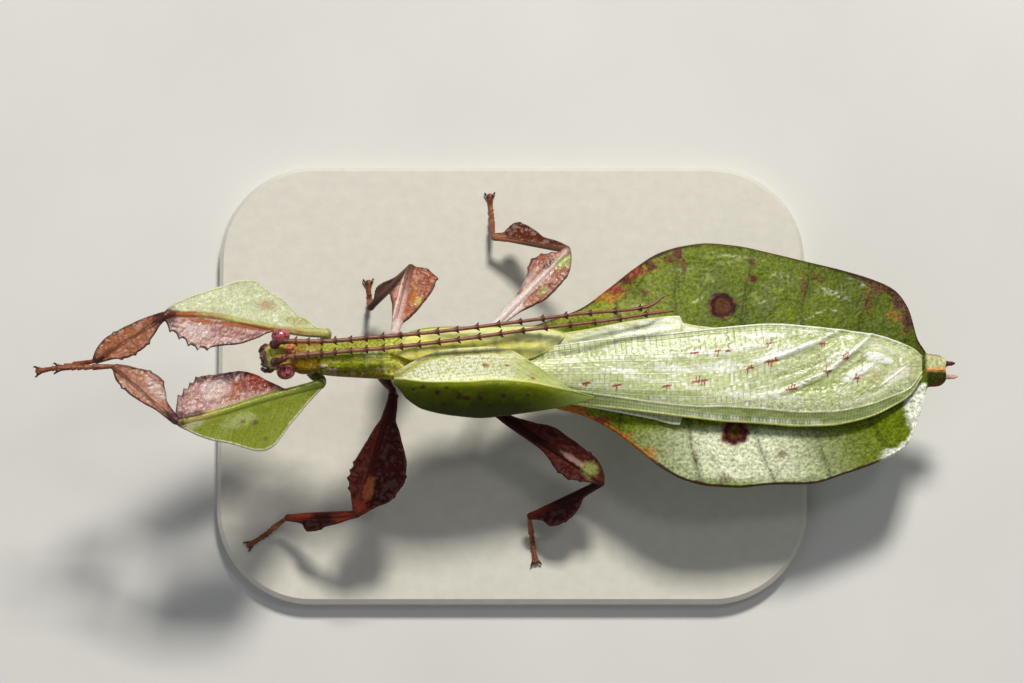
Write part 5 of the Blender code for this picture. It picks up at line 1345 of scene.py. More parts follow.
def wing_wrinkles(flat):
    """Fine crumpling of the membrane, drawn out along the wing, about -1 to 1."""
    bent = flat + 0.15 * np.stack([noise(flat, 0.6, 85), noise(flat, 0.6, 86)], axis=-1)
    ridges = 1 - 2.4 * np.abs(noise(bent * [0.6, 1.0], 0.34, 84))
    return np.clip(0.7 * ridges + 0.4 * noise(flat * [0.7, 1.0], 0.2, 87), -1, 1)


def build_left_wing(material):
    x, y, outer, inner = wing_grid(LEFT_WING_OUTER, LEFT_WING_INNER, LEFT_WING_COLUMNS[0])
    veins = Veins(x, y, outer, inner)
    flat = plan(x, y)
    band = smooth(BAND_WIDTH, x)
    from_outer = y - outer
    in_band = fade(from_outer, band - 0.06, band + 0.06)
    far = ease(x, 20, 27)
    top_strip = veins.top_strip
    rise = 0.016 * (1 - 0.5 * far) * (1 - 0.6 * top_strip) * veins.puff
    rise *= 0.5 + hashed(veins.cell, veins.strip, 6)
    rise = rise + 0.02 * bump(veins.lengthwise, 0.06) + 0.17 * far * bump(veins.fold, 0.28)
    rise += (0.014 + 0.02 * far) * wing_wrinkles(flat)
    rise += 0.07 * far * (patches(x, y, WING_FOLDS, 0.0) - patches(x, y, WING_HOLLOWS, 0.0))
    rise *= 1 - in_band
    rise = rise + 0.06 * bump(from_outer - band, 0.08) + 0.05 * bump(from_outer - 0.1, 0.07)
    rise = rise + 0.025 * bump(from_outer - 0.62, 0.07) + in_band * 0.015 * tick_wave(x)
    rise = rise + 0.06 * bump(inner - y - 0.12, 0.1) + 0.05 * bump(inner - y - 0.5, 0.12)
    rise = rise + 0.09 * noise(flat, 3.2, 81) + 0.05 * noise(flat, 1.3, 82) + 0.015 * noise(flat, 0.25, 83)
    height = smooth(LEFT_WING_HEIGHT, x)
    shape = wing_sheet(x, y, outer, inner, height, rise, LEFT_WING_COLUMNS[1], *LEFT_WING_HANG)
    outlines = (LEFT_WING_OUTER, LEFT_WING_INNER)
    return painted("hind_wing_left", shape, material, wing_colours, *outlines, True)


def build_right_wing(material):
    x, y, outer, inner = wing_grid(RIGHT_WING_OUTER, RIGHT_WING_INNER, RIGHT_WING_COLUMNS[0])
    flat = plan(x, y)
    from_outer = outer - y
    rise = 0.04 * bump(from_outer - 0.12, 0.08) + 0.03 * bump(np.abs(y - inner) - 0.12, 0.08)
    near_edge = np.minimum(from_outer, y - inner)
    rise += 0.03 * tick_wave(x) * fade(near_edge, 0.5, 1.0) * ease(near_edge, 0.1, 0.2)
    rise = rise + 0.03 * noise(flat, 1.3, 92) + 0.01 * noise(flat, 0.3, 93)
    height = smooth(RIGHT_WING_HEIGHT, x)
    shape = wing_sheet(x, y, outer, inner, height, rise, RIGHT_WING_COLUMNS[1], *RIGHT_WING_HANG)
    outlines = (RIGHT_WING_OUTER, RIGHT_WING_INNER)
    return painted("hind_wing_right", shape, material, wing_colours, *outlines, False)


def wing_colours(points, outer_knots, inner_knots, upper):
    """Pale panes with painted highlights and sheen between thin green veins, a green band along the outer
    edge, and dark red marks.
    """
    x, y, _ = in_body(points)
    outer, inner = smooth(outer_knots, x), smooth(inner_knots, x)
    veins = Veins(x, y, outer, inner)
    flat = plan(x, y)
    cloud = layered(flat * [0.6, 1.0], 2.0, 101)
    streak = layered(flat * [0.2, 1.0], 0.26, 102, 2)
    fine = layered(flat, 0.3, 105, 2)
    far = ease(x, 21, 28)
    top_strip = veins.top_strip

    colours = mix("wing_pale", "wing_green", 0.4 + 0.3 * cloud + 0.35 * streak)
    colours = coated(
        colours,
        ("wing_green", 0.35 * top_strip * (1 - far)),
        ("wing_yellow", 0.4 * fade(x, 2, 8)),
        ("wing_rear", 0.6 * far),
    )
    wrinkle = wing_wrinkles(flat)
    uneven = 0.35 * layered(flat * [0.5, 1.0], 0.7, 106, 2)
    folds = patches(x, y, WING_FOLDS, uneven)
    hollows = patches(x, y, WING_HOLLOWS, uneven)
    # Painted highlights and sheen in white: on bright panes, in lengthwise streaks and clouds, and on the
    # crumpled folds
    pane = hashed(veins.cell, veins.strip, 12)
    grit = 0.5 * noise(flat * [0.5, 1.2], 0.22, 107) + 0.4 * noise(flat * [0.8, 1.0], 0.13, 110)
    broken = ease(noise(flat * [0.8, 1.3], 0.36, 113), -0.35, 0.35) * (0.35 + 0.9 * hashed(veins.strip, 21))
    drawn = 0.5 * ease(layered(flat * [0.22, 1.0], 0.3, 114, 2), 0.1, 0.6)
    lit = (0.8 * ease(pane, 0.3, 0.85) * veins.puff * broken + drawn) * (1 - far)
    lit = lit + 0.2 * ease(cloud, -0.2, 0.5) + 1.35 * folds
    lit = lit * (0.9 + 0.5 * grit + 0.3 * wrinkle) * ease(x, 1, 6) * (1 - 0.4 * top_strip * (1 - far))
    colours = mix(colours, "white", lit)
    # Painted shade in the hollows between the folds, and random darker green clouds
    dull = 0.25 * ease(layered(flat * [0.35, 1.0], 0.7, 109, 2), 0.0, 0.7) + 0.8 * hollows
    colours = mix(colours, "wing_green", dull * (0.85 - 0.3 * grit))
    # Painted highlights: white along the ragged folds and sparkles over the rear half, with dark specks
    sparks = ease(noise(flat * [1.0, 1.6], 0.13, 111), 0.15, 0.6)
    ragged = ease(folds + 0.45 * grit + 0.3 * wrinkle, 0.35, 0.7)
    colours = coated(
        colours,
        ("white", 0.9 * far * ragged),
        ("white", 0.75 * far * sparks * ease(noise(flat, 1.1, 116), -0.2, 0.4)),
        ("vein_dark", 0.4 * far * ease(noise(flat * [0.7, 1.3], 0.2, 117), 0.2, 0.7)),
    )
    tip_light = patches(x, y, TIP_LIGHTS, 0.5 * grit) if upper else 0 * x
    colours = mix(colours, "white", 0.75 * tip_light * (0.8 + 0.6 * grit))
    # Just inside the outer band: dark specks and painted sparkle highlights
    low_edge = bump(y - outer - 1.75, 0.7) * ease(x, 14, 22) * fade(x, 31, 34) * (1 if upper else 0)
    colours = mix(colours, "vein_dark", 0.45 * low_edge * ease(noise(flat, 0.12, 112), 0.2, 0.6))
    colours = mix(colours, "white", 0.6 * low_edge * sparks)
    cross = bump(veins.crosswise, 0.034)
    strength = (0.5 + 0.5 * top_strip) * (1 - 0.55 * far) * (0.45 + 0.8 * hashed(veins.cell, veins.strip, 8))
    colours = coated(
        colours,
        ("vein_dark", strength * cross),
        ("vein_dark", 0.22 * bump(veins.lengthwise - 0.08, 0.04) * (1 - 0.5 * far)),
        ("vein_pale", 0.45 * bump(veins.lengthwise, 0.05)),
    )
    # A painted highlight along each pale fold's crest, and painted shade beside it in green and in a dark
    # line
    crest = far * bump(veins.fold, 0.3) * ease(0.55 + cloud + 0.7 * wrinkle + 0.8 * grit, 0.1, 0.8)
    colours = coated(
        colours,
        ("white", crest),
        ("wing_green", 0.65 * far * bump(veins.fold - 0.55, 0.3)),
        ("vein_dark", 0.45 * far * bump(veins.fold - 0.36, 0.05)),
    )

    side = 1 if upper else -1
    from_outer = (y - outer) * side
    from_inner = (inner - y) * side
    band = smooth(BAND_WIDTH, x)
    in_band = fade(from_outer, band - 0.05, band + 0.05)
    band_colour = mix("band", "band_dark", 0.45 + 0.6 * streak)
    lines = 0.5 + 0.5 * np.cos(2 * math.pi * from_outer / 0.31)
    band_colour = mix(band_colour, "flank", 0.55 * lines * fade(x, 9, 20))
    band_colour = mix(band_colour, "band_pale", 0.3 * ease(tick_wave(x), 0.2, 0.9) + 0.5 * bump(x - 14, 4.5))
    # Fine ticks in the band, each with a painted glint in white and a dark tick
    hatched = ease(x, 15, 18) * fade(x, 27, 31) * bump(from_outer - 0.4, 0.2)
    band_colour = mix(band_colour, "white", 0.9 * hashed(np.round(x / TICK_SPACING), 2) * hatched)
    band_colour = mix(band_colour, "vein_dark", 0.8 * hatched * ease(tick_wave(x), 0.3, 0.8))
    if not upper:
        # The right wing's strip: green with painted white sheen and yellow at the front, and painted silver
        # glints on its ticks with dark gaps between
        shine = layered(flat * [0.22, 1.0], 0.16, 108, 2)
        band_colour = mix("wing_green", "white", 0.4 + 0.5 * shine + 0.15 * ease(x, 8, 14))
        band_colour = mix(band_colour, "wing_yellow", 0.8 * fade(x + cloud, 3, 9))
        silver = ease(tick_wave(x) + 0.5 * fine, -0.3, 0.6) * (y < 0)
        band_colour = mix(band_colour, "white", 0.6 * silver)
        gaps = ease(-tick_wave(x) + 0.8 * fine, 0.3, 0.9) * (y < 0) * bump(from_outer - 0.45, 0.35)
        band_colour = mix(band_colour, "vein_dark", 0.6 * gaps)
    colours = mix(colours, band_colour, in_band)
    colours = mix(colours, "vein_pale", 0.75 * bump(from_outer - band, 0.06))
    before_tip = fade(x, 35.5, 37.5)
    colours = coated(
        colours,
        ("yellow", 0.8 * before_tip * fade(from_outer, 0.08, 0.16)),
        ("white", 0.75 * before_tip * bump(from_inner - 0.08, 0.09)),
        ("wing_tip", 0.45 * ease(x - 0.3 * np.abs(y), 36.6, 38.0) * (0.8 + 0.4 * cloud)),
        ("vein_dark", 0.35 * bump(from_inner - 0.32, 0.1) * ease(x, 8, 14)),
    )
    if upper:
        ragged_edge = 0.25 * noise(flat, 0.16, 104)
        for number, (cx, cy, half, ticks) in enumerate(RED_MARKS):
            along = x - cx
            across = y - cy - 0.16 * along
            body = np.maximum(np.abs(along) / half, np.abs(across) / 0.09)
            for tick in range(ticks):
                at = half * (1.5 * (tick + 0.5) / ticks - 0.75)
                tall = 0.2 + 0.16 * hashed(number, tick)
                shift = tall * (0.7 if hashed(number, tick, 4) > 0.35 else -0.5)
                stroke = np.maximum(np.abs(along - at - 0.15 * across) / 0.055, np.abs(across - shift) / tall)
                body = np.minimum(body, stroke)
            colours = mix(colours, "mark", 0.92 * fade(body + ragged_edge, 0.85, 1.25))
        smudge = bump(x - 34.6, 1.5) * bump(y + 0.75 - 0.4 * (x - 34.6), 0.35)
        colours = mix(colours, "tan", 0.6 * smudge * ease(0.5 + cloud, 0.2, 0.9))
        colours = mix(colours, "tan", 0.08 * ease(x, 35, 38) * (0.6 + 0.6 * cloud))
    gloss = 0.34 + 0.06 * cloud + 0.06 * in_band - 0.08 * folds
    return colours, gloss


# The leathery fore wings
LEFT_TEGMEN_INNER = [
    (-10.9, -1.3), (-10.6, -1.2), (-9.5, -0.6), (-8.4, 0.0), (-6.7, 0.6), (-4.5, 0.9), (-2.3, 1.1),
    (-0.1, 0.8), (1, 0.2), (2.8, -0.9), (4.2, -1.9), (5.8, -2.75), (7.6, -3.2),
]
LEFT_TEGMEN_OUTER = [
    (-10.9, -2.4), (-10.6, -2.7), (-9.6, -3.8), (-8.0, -4.65), (-5.0, -5.15), (-2.9, -5.25), (-0.4, -5.0),
    (1.9, -4.65), (4.2, -4.25), (6.2, -3.85), (7.6, -3.45),
]
RIGHT_TEGMEN_INNER = [
    (-10.9, 0.2), (-10.6, 0.1), (-9.5, -0.3), (-8.4, -0.4), (-6.7, -0.2), (-4.5, 0.1), (-2.3, 0.3),
    (-0.1, 0.1), (1, 0.0), (2.8, 0.6), (4.2, 1.5), (5.0, 2.4),
]
RIGHT_TEGMEN_OUTER = [
    (-10.9, 1.5), (-10.6, 1.7), (-9.2, 2.5), (-7.7, 2.9), (-4.4, 3.1), (-2.2, 3.2), (2.4, 3.4), (3.8, 3.3),
    (5.0, 3.0),
]
LEFT_TEGMEN_HEIGHT = [
    (-10.9, 0.0), (-10.2, 0.75), (-9, 1.4), (-4, 2.45), (0.5, 2.35), (4.2, 1.95), (7.6, 1.72),
]
RIGHT_TEGMEN_HEIGHT = [(-10.9, 0.0), (-10.2, 0.6), (-9, 1.05), (-4, 1.95), (0.5, 2.0), (3.5, 1.5), (5.0, 1.2)]
TEGMEN_RIM = [
    (-10.9, -1.95), (-7.6, -2.37), (-4.3, -2.25), (-1.6, -1.98), (1.2, -2.11), (4.2, -2.6), (7.6, -3.1),
]

# Specks on top and on the flank: x, y, radius
TOP_SPECKS = [
    (-2.6, -0.69, 0.13), (-0.6, -0.65, 0.12), (1.9, -1.76, 0.13), (0, 1.41, 0.12), (1.5, 2.04, 0.12),
]
FLANK_SPECKS = [
    (-8.4, -2.79, 0.16), (-7.0, -3.23, 0.17), (-4.9, -3.55, 0.22), (-4.2, -3.66, 0.15), (-3.0, -3.58, 0.16),
    (-0.8, -3.34, 0.15), (-6.2, -2.9, 0.1), (-2.0, -4.2, 0.13), (1.4, -3.3, 0.12), (-9.2, -3.0, 0.1),
]

# Brown blots on the right one: x, y, half length, half width, slant, strength
TEGMEN_BLOTS = [
    (0.2, 2.35, 0.7, 0.16, 0.1, 0.9), (1.6, 1.7, 0.5, 0.14, 0.1, 0.8), (-3.6, 1.5, 0.9, 0.14, 0.1, 0.5),
]
TEGMEN_ROW = 0.07
TEGMEN_HALF = 0.09  # half its thickness

# Each fore wing's outlines, height and number of columns
LEFT_TEGMEN = (LEFT_TEGMEN_OUTER, LEFT_TEGMEN_INNER, LEFT_TEGMEN_HEIGHT, 91)
RIGHT_TEGMEN = (RIGHT_TEGMEN_OUTER, RIGHT_TEGMEN_INNER, RIGHT_TEGMEN_HEIGHT, 61)


def tegmen_shape(outer_knots, inner_knots, height_knots, columns, left):
    first, last = outer_knots[0][0], outer_knots[-1][0]
    x = np.arange(first, last + TEGMEN_ROW / 2, TEGMEN_ROW)[:, None]
    a = np.linspace(0, 1, columns)
    outer, inner = smooth(outer_knots, x), smooth(inner_knots, x)
    y = outer + (inner - outer) * a
    outer, inner, x = outer + 0 * y, inner + 0 * y, x + 0 * y
    flat = plan(x, y)
    edge = np.minimum(np.abs(y - outer), np.abs(inner - y))
    edge = np.minimum(edge, np.minimum(x - x[0, 0], x[-1, 0] - x) * 1.1 + 0.03)
    rear = ease(x, 1.5, 5.0)
    rise = tegmen_relief(x, y, outer, inner, flat, left) * (1 - 0.5 * rear)
    hang = (0.16 if left else 0.3) * fade(edge, 0, 1.1) ** 1.5
    hang = hang * ease(x, -10.4, -8) * (1 - 0.75 * rear * left)
    thick = TEGMEN_HALF * round_edge(edge, 0.12) * (1 - 0.3 * rear)
    middle = smooth(height_knots, x) - hang + rise
    top = on_body(x, y, above_back(x, y, middle + thick))
    under = on_body(x, y, above_back(x, y, middle - thick))
    return sheet(top, under[:, ::2] if columns % 2 else under)


def tegmen_relief(x, y, outer, inner, flat, left):
    """A raised ridge between the flat top and the flank, lengthwise veins and a fine beaded surface."""
    if left:
        ridge = y - smooth(TEGMEN_RIM, x)
        on_top = ease(ridge, 0.0, 0.3)
    else:
        ridge = outer - y - 0.3
        on_top = np.ones_like(x)
    rise = 0.1 * bump(ridge, 0.12)
    from_inner = np.abs(inner - y)
    for k in range(5):
        line = np.abs(from_inner - 0.9 - 0.5 * k - 0.05 * np.sin(x * 0.8 + k))
        rise += 0.02 * bump(line, 0.06) * on_top * ease(x, -2, 1)
    front = fade(x, -1.5, 1.5)
    rise += 0.035 * beads(x, y) * on_top * front * left
    rise += left * (0.05 * bump(from_inner - 0.07, 0.07) - 0.02 * bump(from_inner - 0.45, 0.25))
    return rise + 0.06 * noise(flat, 1.6, 112) + 0.02 * noise(flat, 0.5, 113) + 0.015 * noise(flat, 0.2, 114)


def beads(x, y):
    """A fine net of rounded grains, from 0 to 1."""
    return grains(x + 0.3 * y, 0.8 * y - 0.12 * x, 0.23, 115)


def tegmen_colours(points, outer_knots, inner_knots, left):
    x, y, _ = in_body(points)
    outer, inner = smooth(outer_knots, x), smooth(inner_knots, x)
    flat = plan(x, y)
    cloud, fine = layered(flat, 1.4, 121), layered(flat, 0.2, 122, 2)
    streak = layered(flat * [0.3, 1.0], 0.22, 124, 2)
    from_inner = (inner - y) if left else (y - inner)
    rim = smooth(TEGMEN_RIM, x) if left else outer - 0.3
    above = (y - rim) if left else (rim - y)

    front = fade(x, -1.5, 1.0)
    grain = beads(x, y)
    top = mix("tegmen_pale", "tegmen_green", 0.35 + 0.3 * cloud + 0.45 * streak * (1 - front))
    # At the front: the pale lip colour, green between the beads and white on their tops, the white partly a
    # painted highlight
    top = coated(
        top,
        ("lip", 0.6 * front),
        ("tegmen_green", 0.55 * front * fade(grain + 0.3 * fine, 0.0, 0.45)),
        ("white", 0.75 * front * ease(grain + 0.5 * fine + 0.3 * cloud, 0.55, 1.0)),
    )
    inner_front = fade(x, -1.6, 0.4)
    top = coated(
        top,
        ("olive", 0.85 * inner_front * bump(from_inner - 0.5, 0.3)),
        ("wing_pale", 0.6 * ease(x, 1.5, 5.0)),
        ("vein_pale", 0.3 * bump(off_grid(from_inner, 0.42), 0.05) * (1 - front)),
        ("tegmen_green", 0.55 * ease(x, 0, 3) * left),
    )
    if not left:
        top = mix("right_olive", "tegmen_green", 0.15 + 0.4 * cloud)
        top = coated(
            top,
            ("tegmen_pale", 0.2 + 0.7 * ease(y, 1.4, 2.4) + 0.4 * streak + 0.4 * ease(x, -1, 4)),
            ("stain_and_shade_brown", 0.5 * patches(x, y, TEGMEN_BLOTS, 0.4 * cloud + 0.3 * fine)),
            ("tan", 0.12 * ease(layered(flat, 1.0, 125), 0.1, 0.6) * (y < 1.6)),
        )
    # The left flank: painted shade that darkens it further down and towards the front, painted light just
    # below the rim, brighter towards the rear, and random clouds and streaks
    flank = mix("flank", "flank_dark", 0.3 + 0.4 * cloud + 0.7 * ease(-above, 0.4, 2.4))
    flank = mix(flank, "flank_bright", 0.8 * fade(-above, 0.05, 0.7) + 0.35 * ease(x, 1, 5))
    flank = mix(flank, "flank_dark", 0.25 * ease(streak, 0.1, 0.7) + 0.4 * fade(x, -8.5, -5.5))
    flank = flank if left else mix("side_green", "flank_bright", 0.5 + 0.5 * cloud)
    colours = mix(flank, top, ease(above, -0.06, 0.06))
    colours = mix(colours, "rim_line", (0.95 - 0.6 * ease(x, 2, 5)) * bump(above, 0.1))
    colours = mix(colours, "band", 0.6 * ease(x, 3.0, 7.0) * (above < 0))
    if left:
        colours = mix(colours, "lip", 0.9 * fade(from_inner, 0.12, 0.22) * fade(x, 0.5, 2.5))
        ragged = 0.7 * noise(flat, 0.25, 123)
        for specks, colour, long in ((TOP_SPECKS, "speck_red", 1.9), (FLANK_SPECKS, "speck", 1.5)):
            for cx, cy, radius in specks:
                away = np.hypot((x - cx) / long, y - cy) / radius + ragged
                colours = mix(colours, colour, 0.8 * fade(away, 0.5, 1.6))
    gloss = 0.36 + 0.08 * cloud
    return colours, gloss


def build_tegmen(name, outer_knots, inner_knots, height_knots, columns, left, material):
    shape = tegmen_shape(outer_knots, inner_knots, height_knots, columns, left)
    return painted(name, shape, material, tegmen_colours, outer_knots, inner_knots, left)


# Colours, as they look in the key light
EXPOSURE = 0.85  # turns a colour as it looks in the key light into the surface's own
LOOKS = {
    "wing_pale": (0.78, 0.85, 0.45),
    "wing_green": (0.38, 0.47, 0.13),
    "wing_yellow": (0.72, 0.74, 0.2),
    "wing_rear": (0.58, 0.64, 0.29),
    "wing_tip": (0.78, 0.82, 0.45),
    "vein_dark": (0.1, 0.17, 0.02),
    "vein_pale": (0.88, 0.92, 0.6),
    "band": (0.4, 0.48, 0.16),
    "band_pale": (0.62, 0.7, 0.36),
    "band_dark": (0.15, 0.22, 0.04),
    "yellow": (0.75, 0.72, 0.16),
    # white also serves as the colour of the painted highlights
    "white": (1.1, 1.12, 0.98),
    "mark": (0.34, 0.025, 0.015),
    "tan": (0.55, 0.32, 0.12),
    "tegmen_pale": (0.8, 0.83, 0.4),
    "tegmen_green": (0.4, 0.46, 0.09),
    "olive": (0.42, 0.42, 0.035),
    "olive_pale": (0.42, 0.38, 0.07),
    "right_olive": (0.95, 0.88, 0.16),
    "side_green": (0.3, 0.34, 0.03),
    "lip": (0.9, 0.92, 0.5),
    "flank": (0.13, 0.17, 0.004),
    # flank_bright and flank_dark also serve as painted light and painted shade on the left flank
    "flank_bright": (0.32, 0.38, 0.015),
    "flank_dark": (0.035, 0.045, 0.001),
    "rim_line": (0.8, 0.85, 0.25),
    "speck": (0.04, 0.008, 0.002),
    "speck_red": (0.36, 0.1, 0.03),
    "feeler": (0.16, 0.05, 0.022),
    "feeler_pale": (0.38, 0.17, 0.09),
    "feeler_tip": (0.22, 0.055, 0.025),
    "feeler_dark": (0.06, 0.011, 0.007),
    "purple_dark": (0.04, 0.007, 0.013),
    "purple_red": (0.15, 0.02, 0.035),
    "leaf": (0.1, 0.142, 0.001),
    "leaf_pale": (0.21, 0.28, 0.003),
    "leaf_dark": (0.04, 0.06, 0.002),
    "leaf_sheen": (0.9, 0.95, 0.66),
    "leaf_gleam": (0.34, 0.4, 0.1),
    "suture": (0.045, 0.028, 0.003),
    "leaf_light": (0.4, 0.42, 0.06),
    "leaf_rim": (0.5, 0.4, 0.14),
    "underside": (0.3, 0.36, 0.14),
    "margin": (0.055, 0.014, 0.01),
    "spot_ring": (0.035, 0.004, 0.006),
    "spot_glow": (0.36, 0.08, 0.09),
    "spot_centre": (0.11, 0.04, 0.006),
    "stain_red": (0.28, 0.04, 0.018),
    "stain_orange": (0.5, 0.17, 0.02),
    # the brown of the stains, also painted shade in the creases of the crumpled corner
    "stain_and_shade_brown": (0.09, 0.02, 0.009),
    "thorax": (0.26, 0.28, 0.004),
    "thorax_bright": (0.62, 0.66, 0.09),
    "plate": (0.29, 0.16, 0.004),
    "tail": (0.6, 0.6, 0.3),
    # painted shade on the tail's left half
    "tail_shaded_half": (0.034, 0.039, 0.0015),
    "orange": (0.8, 0.25, 0.03),
    "cercus_right": (0.1, 0.03, 0.05),
    "cercus_left": (0.65, 0.4, 0.35),
    "face": (0.55, 0.52, 0.08),
    "crown": (0.4, 0.3, 0.025),
    "nape": (0.55, 0.55, 0.15),
    "cheek": (0.16, 0.09, 0.01),
    "jaw": (0.04, 0.008, 0.014),
    "ocellus": (0.55, 0.08, 0.015),
    # painted highlight on the ocelli
    "ocellus_highlight": (0.85, 0.3, 0.15),
    "eye": (0.28, 0.012, 0.018),
    "eye_dark": (0.07, 0.003, 0.007),
    # painted highlight on the eyes and the mouthparts
    "eye_highlight": (0.7, 0.18, 0.22),
    "claw": (0.02, 0.008, 0.006),
    "fore_pale": (0.74, 0.78, 0.48),
    "fore_green": (0.22, 0.26, 0.006),
    "fore_crease": (0.14, 0.2, 0.03),
    "fore_rim": (0.75, 0.72, 0.5),
    "fore_shaft": (0.26, 0.32, 0.03),
    "lobe_pink": (0.7, 0.43, 0.39),
    "lobe_plum": (0.55, 0.3, 0.27),
    "lobe_clay": (0.6, 0.29, 0.19),
    "lobe_rose": (0.46, 0.18, 0.11),
    "lobe_tan": (0.45, 0.165, 0.07),
    "lobe_white": (0.85, 0.72, 0.68),
    "lobe_brown": (0.2, 0.08, 0.05),
    "shaft_lime": (0.55, 0.55, 0.2),
    "shaft_orange": (0.42, 0.13, 0.04),
    "salmon": (0.42, 0.13, 0.045),
    "rust": (0.3, 0.09, 0.035),
    "chestnut": (0.16, 0.03, 0.004),
    "maroon": (0.028, 0.003, 0.002),
    "maroon_light": (0.08, 0.011, 0.007),
    "rim_dark": (0.07, 0.02, 0.015),
    "pad": (0.5, 0.42, 0.3),
}
COLOURS = {name: np.array(look) * EXPOSURE for name, look in LOOKS.items()}

# How wide the abdomen's dark margin is, along x
RIGHT_MARGIN = ([0, 8, 14, 18, 27, 32, 35, 37, 38.5], [0.06, 0.22, 0.3, 0.12, 0.1, 0.2, 0.7, 0.85, 0.45])
LEFT_MARGIN = ([0, 8, 20, 30, 38], [0.3, 0.3, 0.15, 0.16, 0.2])

# Stains on the abdomen: x, y, size along and across, colour, strength
STAINS = [
    (9.4, 6.6, 1.3, 0.5, "stain_orange", 0.45), (9.9, 7.4, 0.9, 0.5, "stain_red", 0.75),
    (11.0, 8.2, 0.9, 0.5, "stain_and_shade_brown", 0.75), (12.0, 9.0, 0.9, 0.5, "stain_red", 0.7),
    (13.2, 9.6, 0.8, 0.5, "stain_and_shade_brown", 0.7), (12.8, 6.95, 0.4, 0.25, "stain_and_shade_brown", 0.6),
    (15.9, 10.9, 0.35, 0.9, "stain_and_shade_brown", 0.85), (16.4, 9.6, 0.3, 0.6, "stain_and_shade_brown", 0.6),
    (15.2, 10.1, 0.5, 0.3, "stain_and_shade_brown", 0.6), (22.8, 8.4, 0.3, 0.35, "stain_and_shade_brown", 0.75),
    (22.9, 10.0, 0.25, 0.35, "stain_and_shade_brown", 0.7), (27.6, 7.6, 0.3, 1.0, "stain_and_shade_brown", 0.45),
    (29.0, 8.6, 0.6, 0.4, "stain_and_shade_brown", 0.35), (33.6, 6.2, 0.35, 0.9, "stain_and_shade_brown", 0.5),
    (34.6, 7.6, 0.9, 0.4, "stain_and_shade_brown", 0.6), (36.6, 6.2, 0.7, 0.5, "margin", 0.9),
    (37.3, 4.6, 0.5, 1.0, "margin", 0.9), (36.2, 5.0, 0.6, 0.5, "stain_orange", 0.25),
    (6.1, -4.1, 1.0, 0.35, "stain_orange", 0.8), (8.6, -5.2, 0.9, 0.4, "stain_red", 0.6),
    (10.9, -6.7, 0.8, 0.4, "stain_orange", 0.6), (13.2, -8.0, 0.8, 0.4, "stain_orange", 0.5),
    (17.7, -5.1, 0.3, 0.25, "stain_and_shade_brown", 0.6), (17.3, -8.6, 0.5, 0.4, "stain_and_shade_brown", 0.35),
    (25.5, -8.2, 0.5, 0.4, "stain_and_shade_brown", 0.4), (20.2, -10.4, 0.6, 0.35, "stain_and_shade_brown", 0.35),
]

# Shiny creases on the abdomen: x, y, half length, half width, slant, strength
LEAF_GLINTS = [
    (28.6, 5.0, 1.5, 0.16, 0.5, 0.9), (30.3, 5.5, 0.6, 0.14, -0.3, 0.9), (30.4, 7.0, 1.6, 0.5, -0.25, 0.7),
    (17.6, 6.2, 0.5, 0.2, 0.4, 0.9), (24.3, 6.3, 1.0, 0.15, 0.35, 0.6), (16.3, 9.3, 1.2, 0.3, 0.1, 0.5),
    (22.0, 10.4, 2.5, 0.16, -0.15, 0.5), (32.9, 8.1, 1.2, 0.2, -0.5, 0.6), (12.2, 5.6, 1.2, 0.3, 0.3, 0.5),
    (25.6, 8.6, 1.4, 0.35, -0.2, 0.5), (19.0, -7.6, 1.6, 0.2, -0.1, 0.8), (27.5, -7.2, 1.8, 0.25, 0.1, 0.6),
]

# Marks on the thorax, given as the stains are
THORAX_MARKS = [
    (-17.35, -0.95, 0.4, 0.14, "lobe_white", 0.8), (-16.6, -1.25, 0.5, 0.12, "lobe_white", 0.7),
    (-17.6, -1.35, 0.35, 0.3, "maroon_light", 0.7), (-17.0, -1.6, 0.5, 0.16, "lobe_pink", 0.6),
    (-14.2, -1.5, 0.6, 0.2, "maroon_light", 0.5), (-16.2, 0.2, 0.35, 0.14, "tegmen_pale", 0.7),
    (-15.4, -0.5, 0.7, 0.4, "leaf_dark", 0.3), (-12.0, -1.2, 0.6, 0.3, "tegmen_pale", 0.4),
]


def tubercles(x, y, right, left):
    """How near each point is to the top of one of the thorax's small tubercles, from 0 to 1."""
    q = np.where(y < 0, y / left, y / right)
    best = np.zeros(np.shape(x))
    for along, row, side, away in tubercle_places(x, q):
        best = np.maximum(best, bump(away, 0.09) * (hashed(along, row + 9, side) > 0.62))
    return best * (x > -17.5) * (x < -11.5)


def leaf_veins(x, y):
    """Distance to the nearest of the faint veins that slant across the abdomen's sides."""
    slanted = x - 0.9 * np.abs(y) + 0.35 * np.sin(0.9 * y)
    forked = x + 0.35 * np.abs(y) + 0.3 * np.sin(1.1 * y + 1)
    return np.minimum(off_grid(slanted, 5.4) / 1.35, off_grid(forked + 0.37 * 5.1, 5.1) / 1.06)


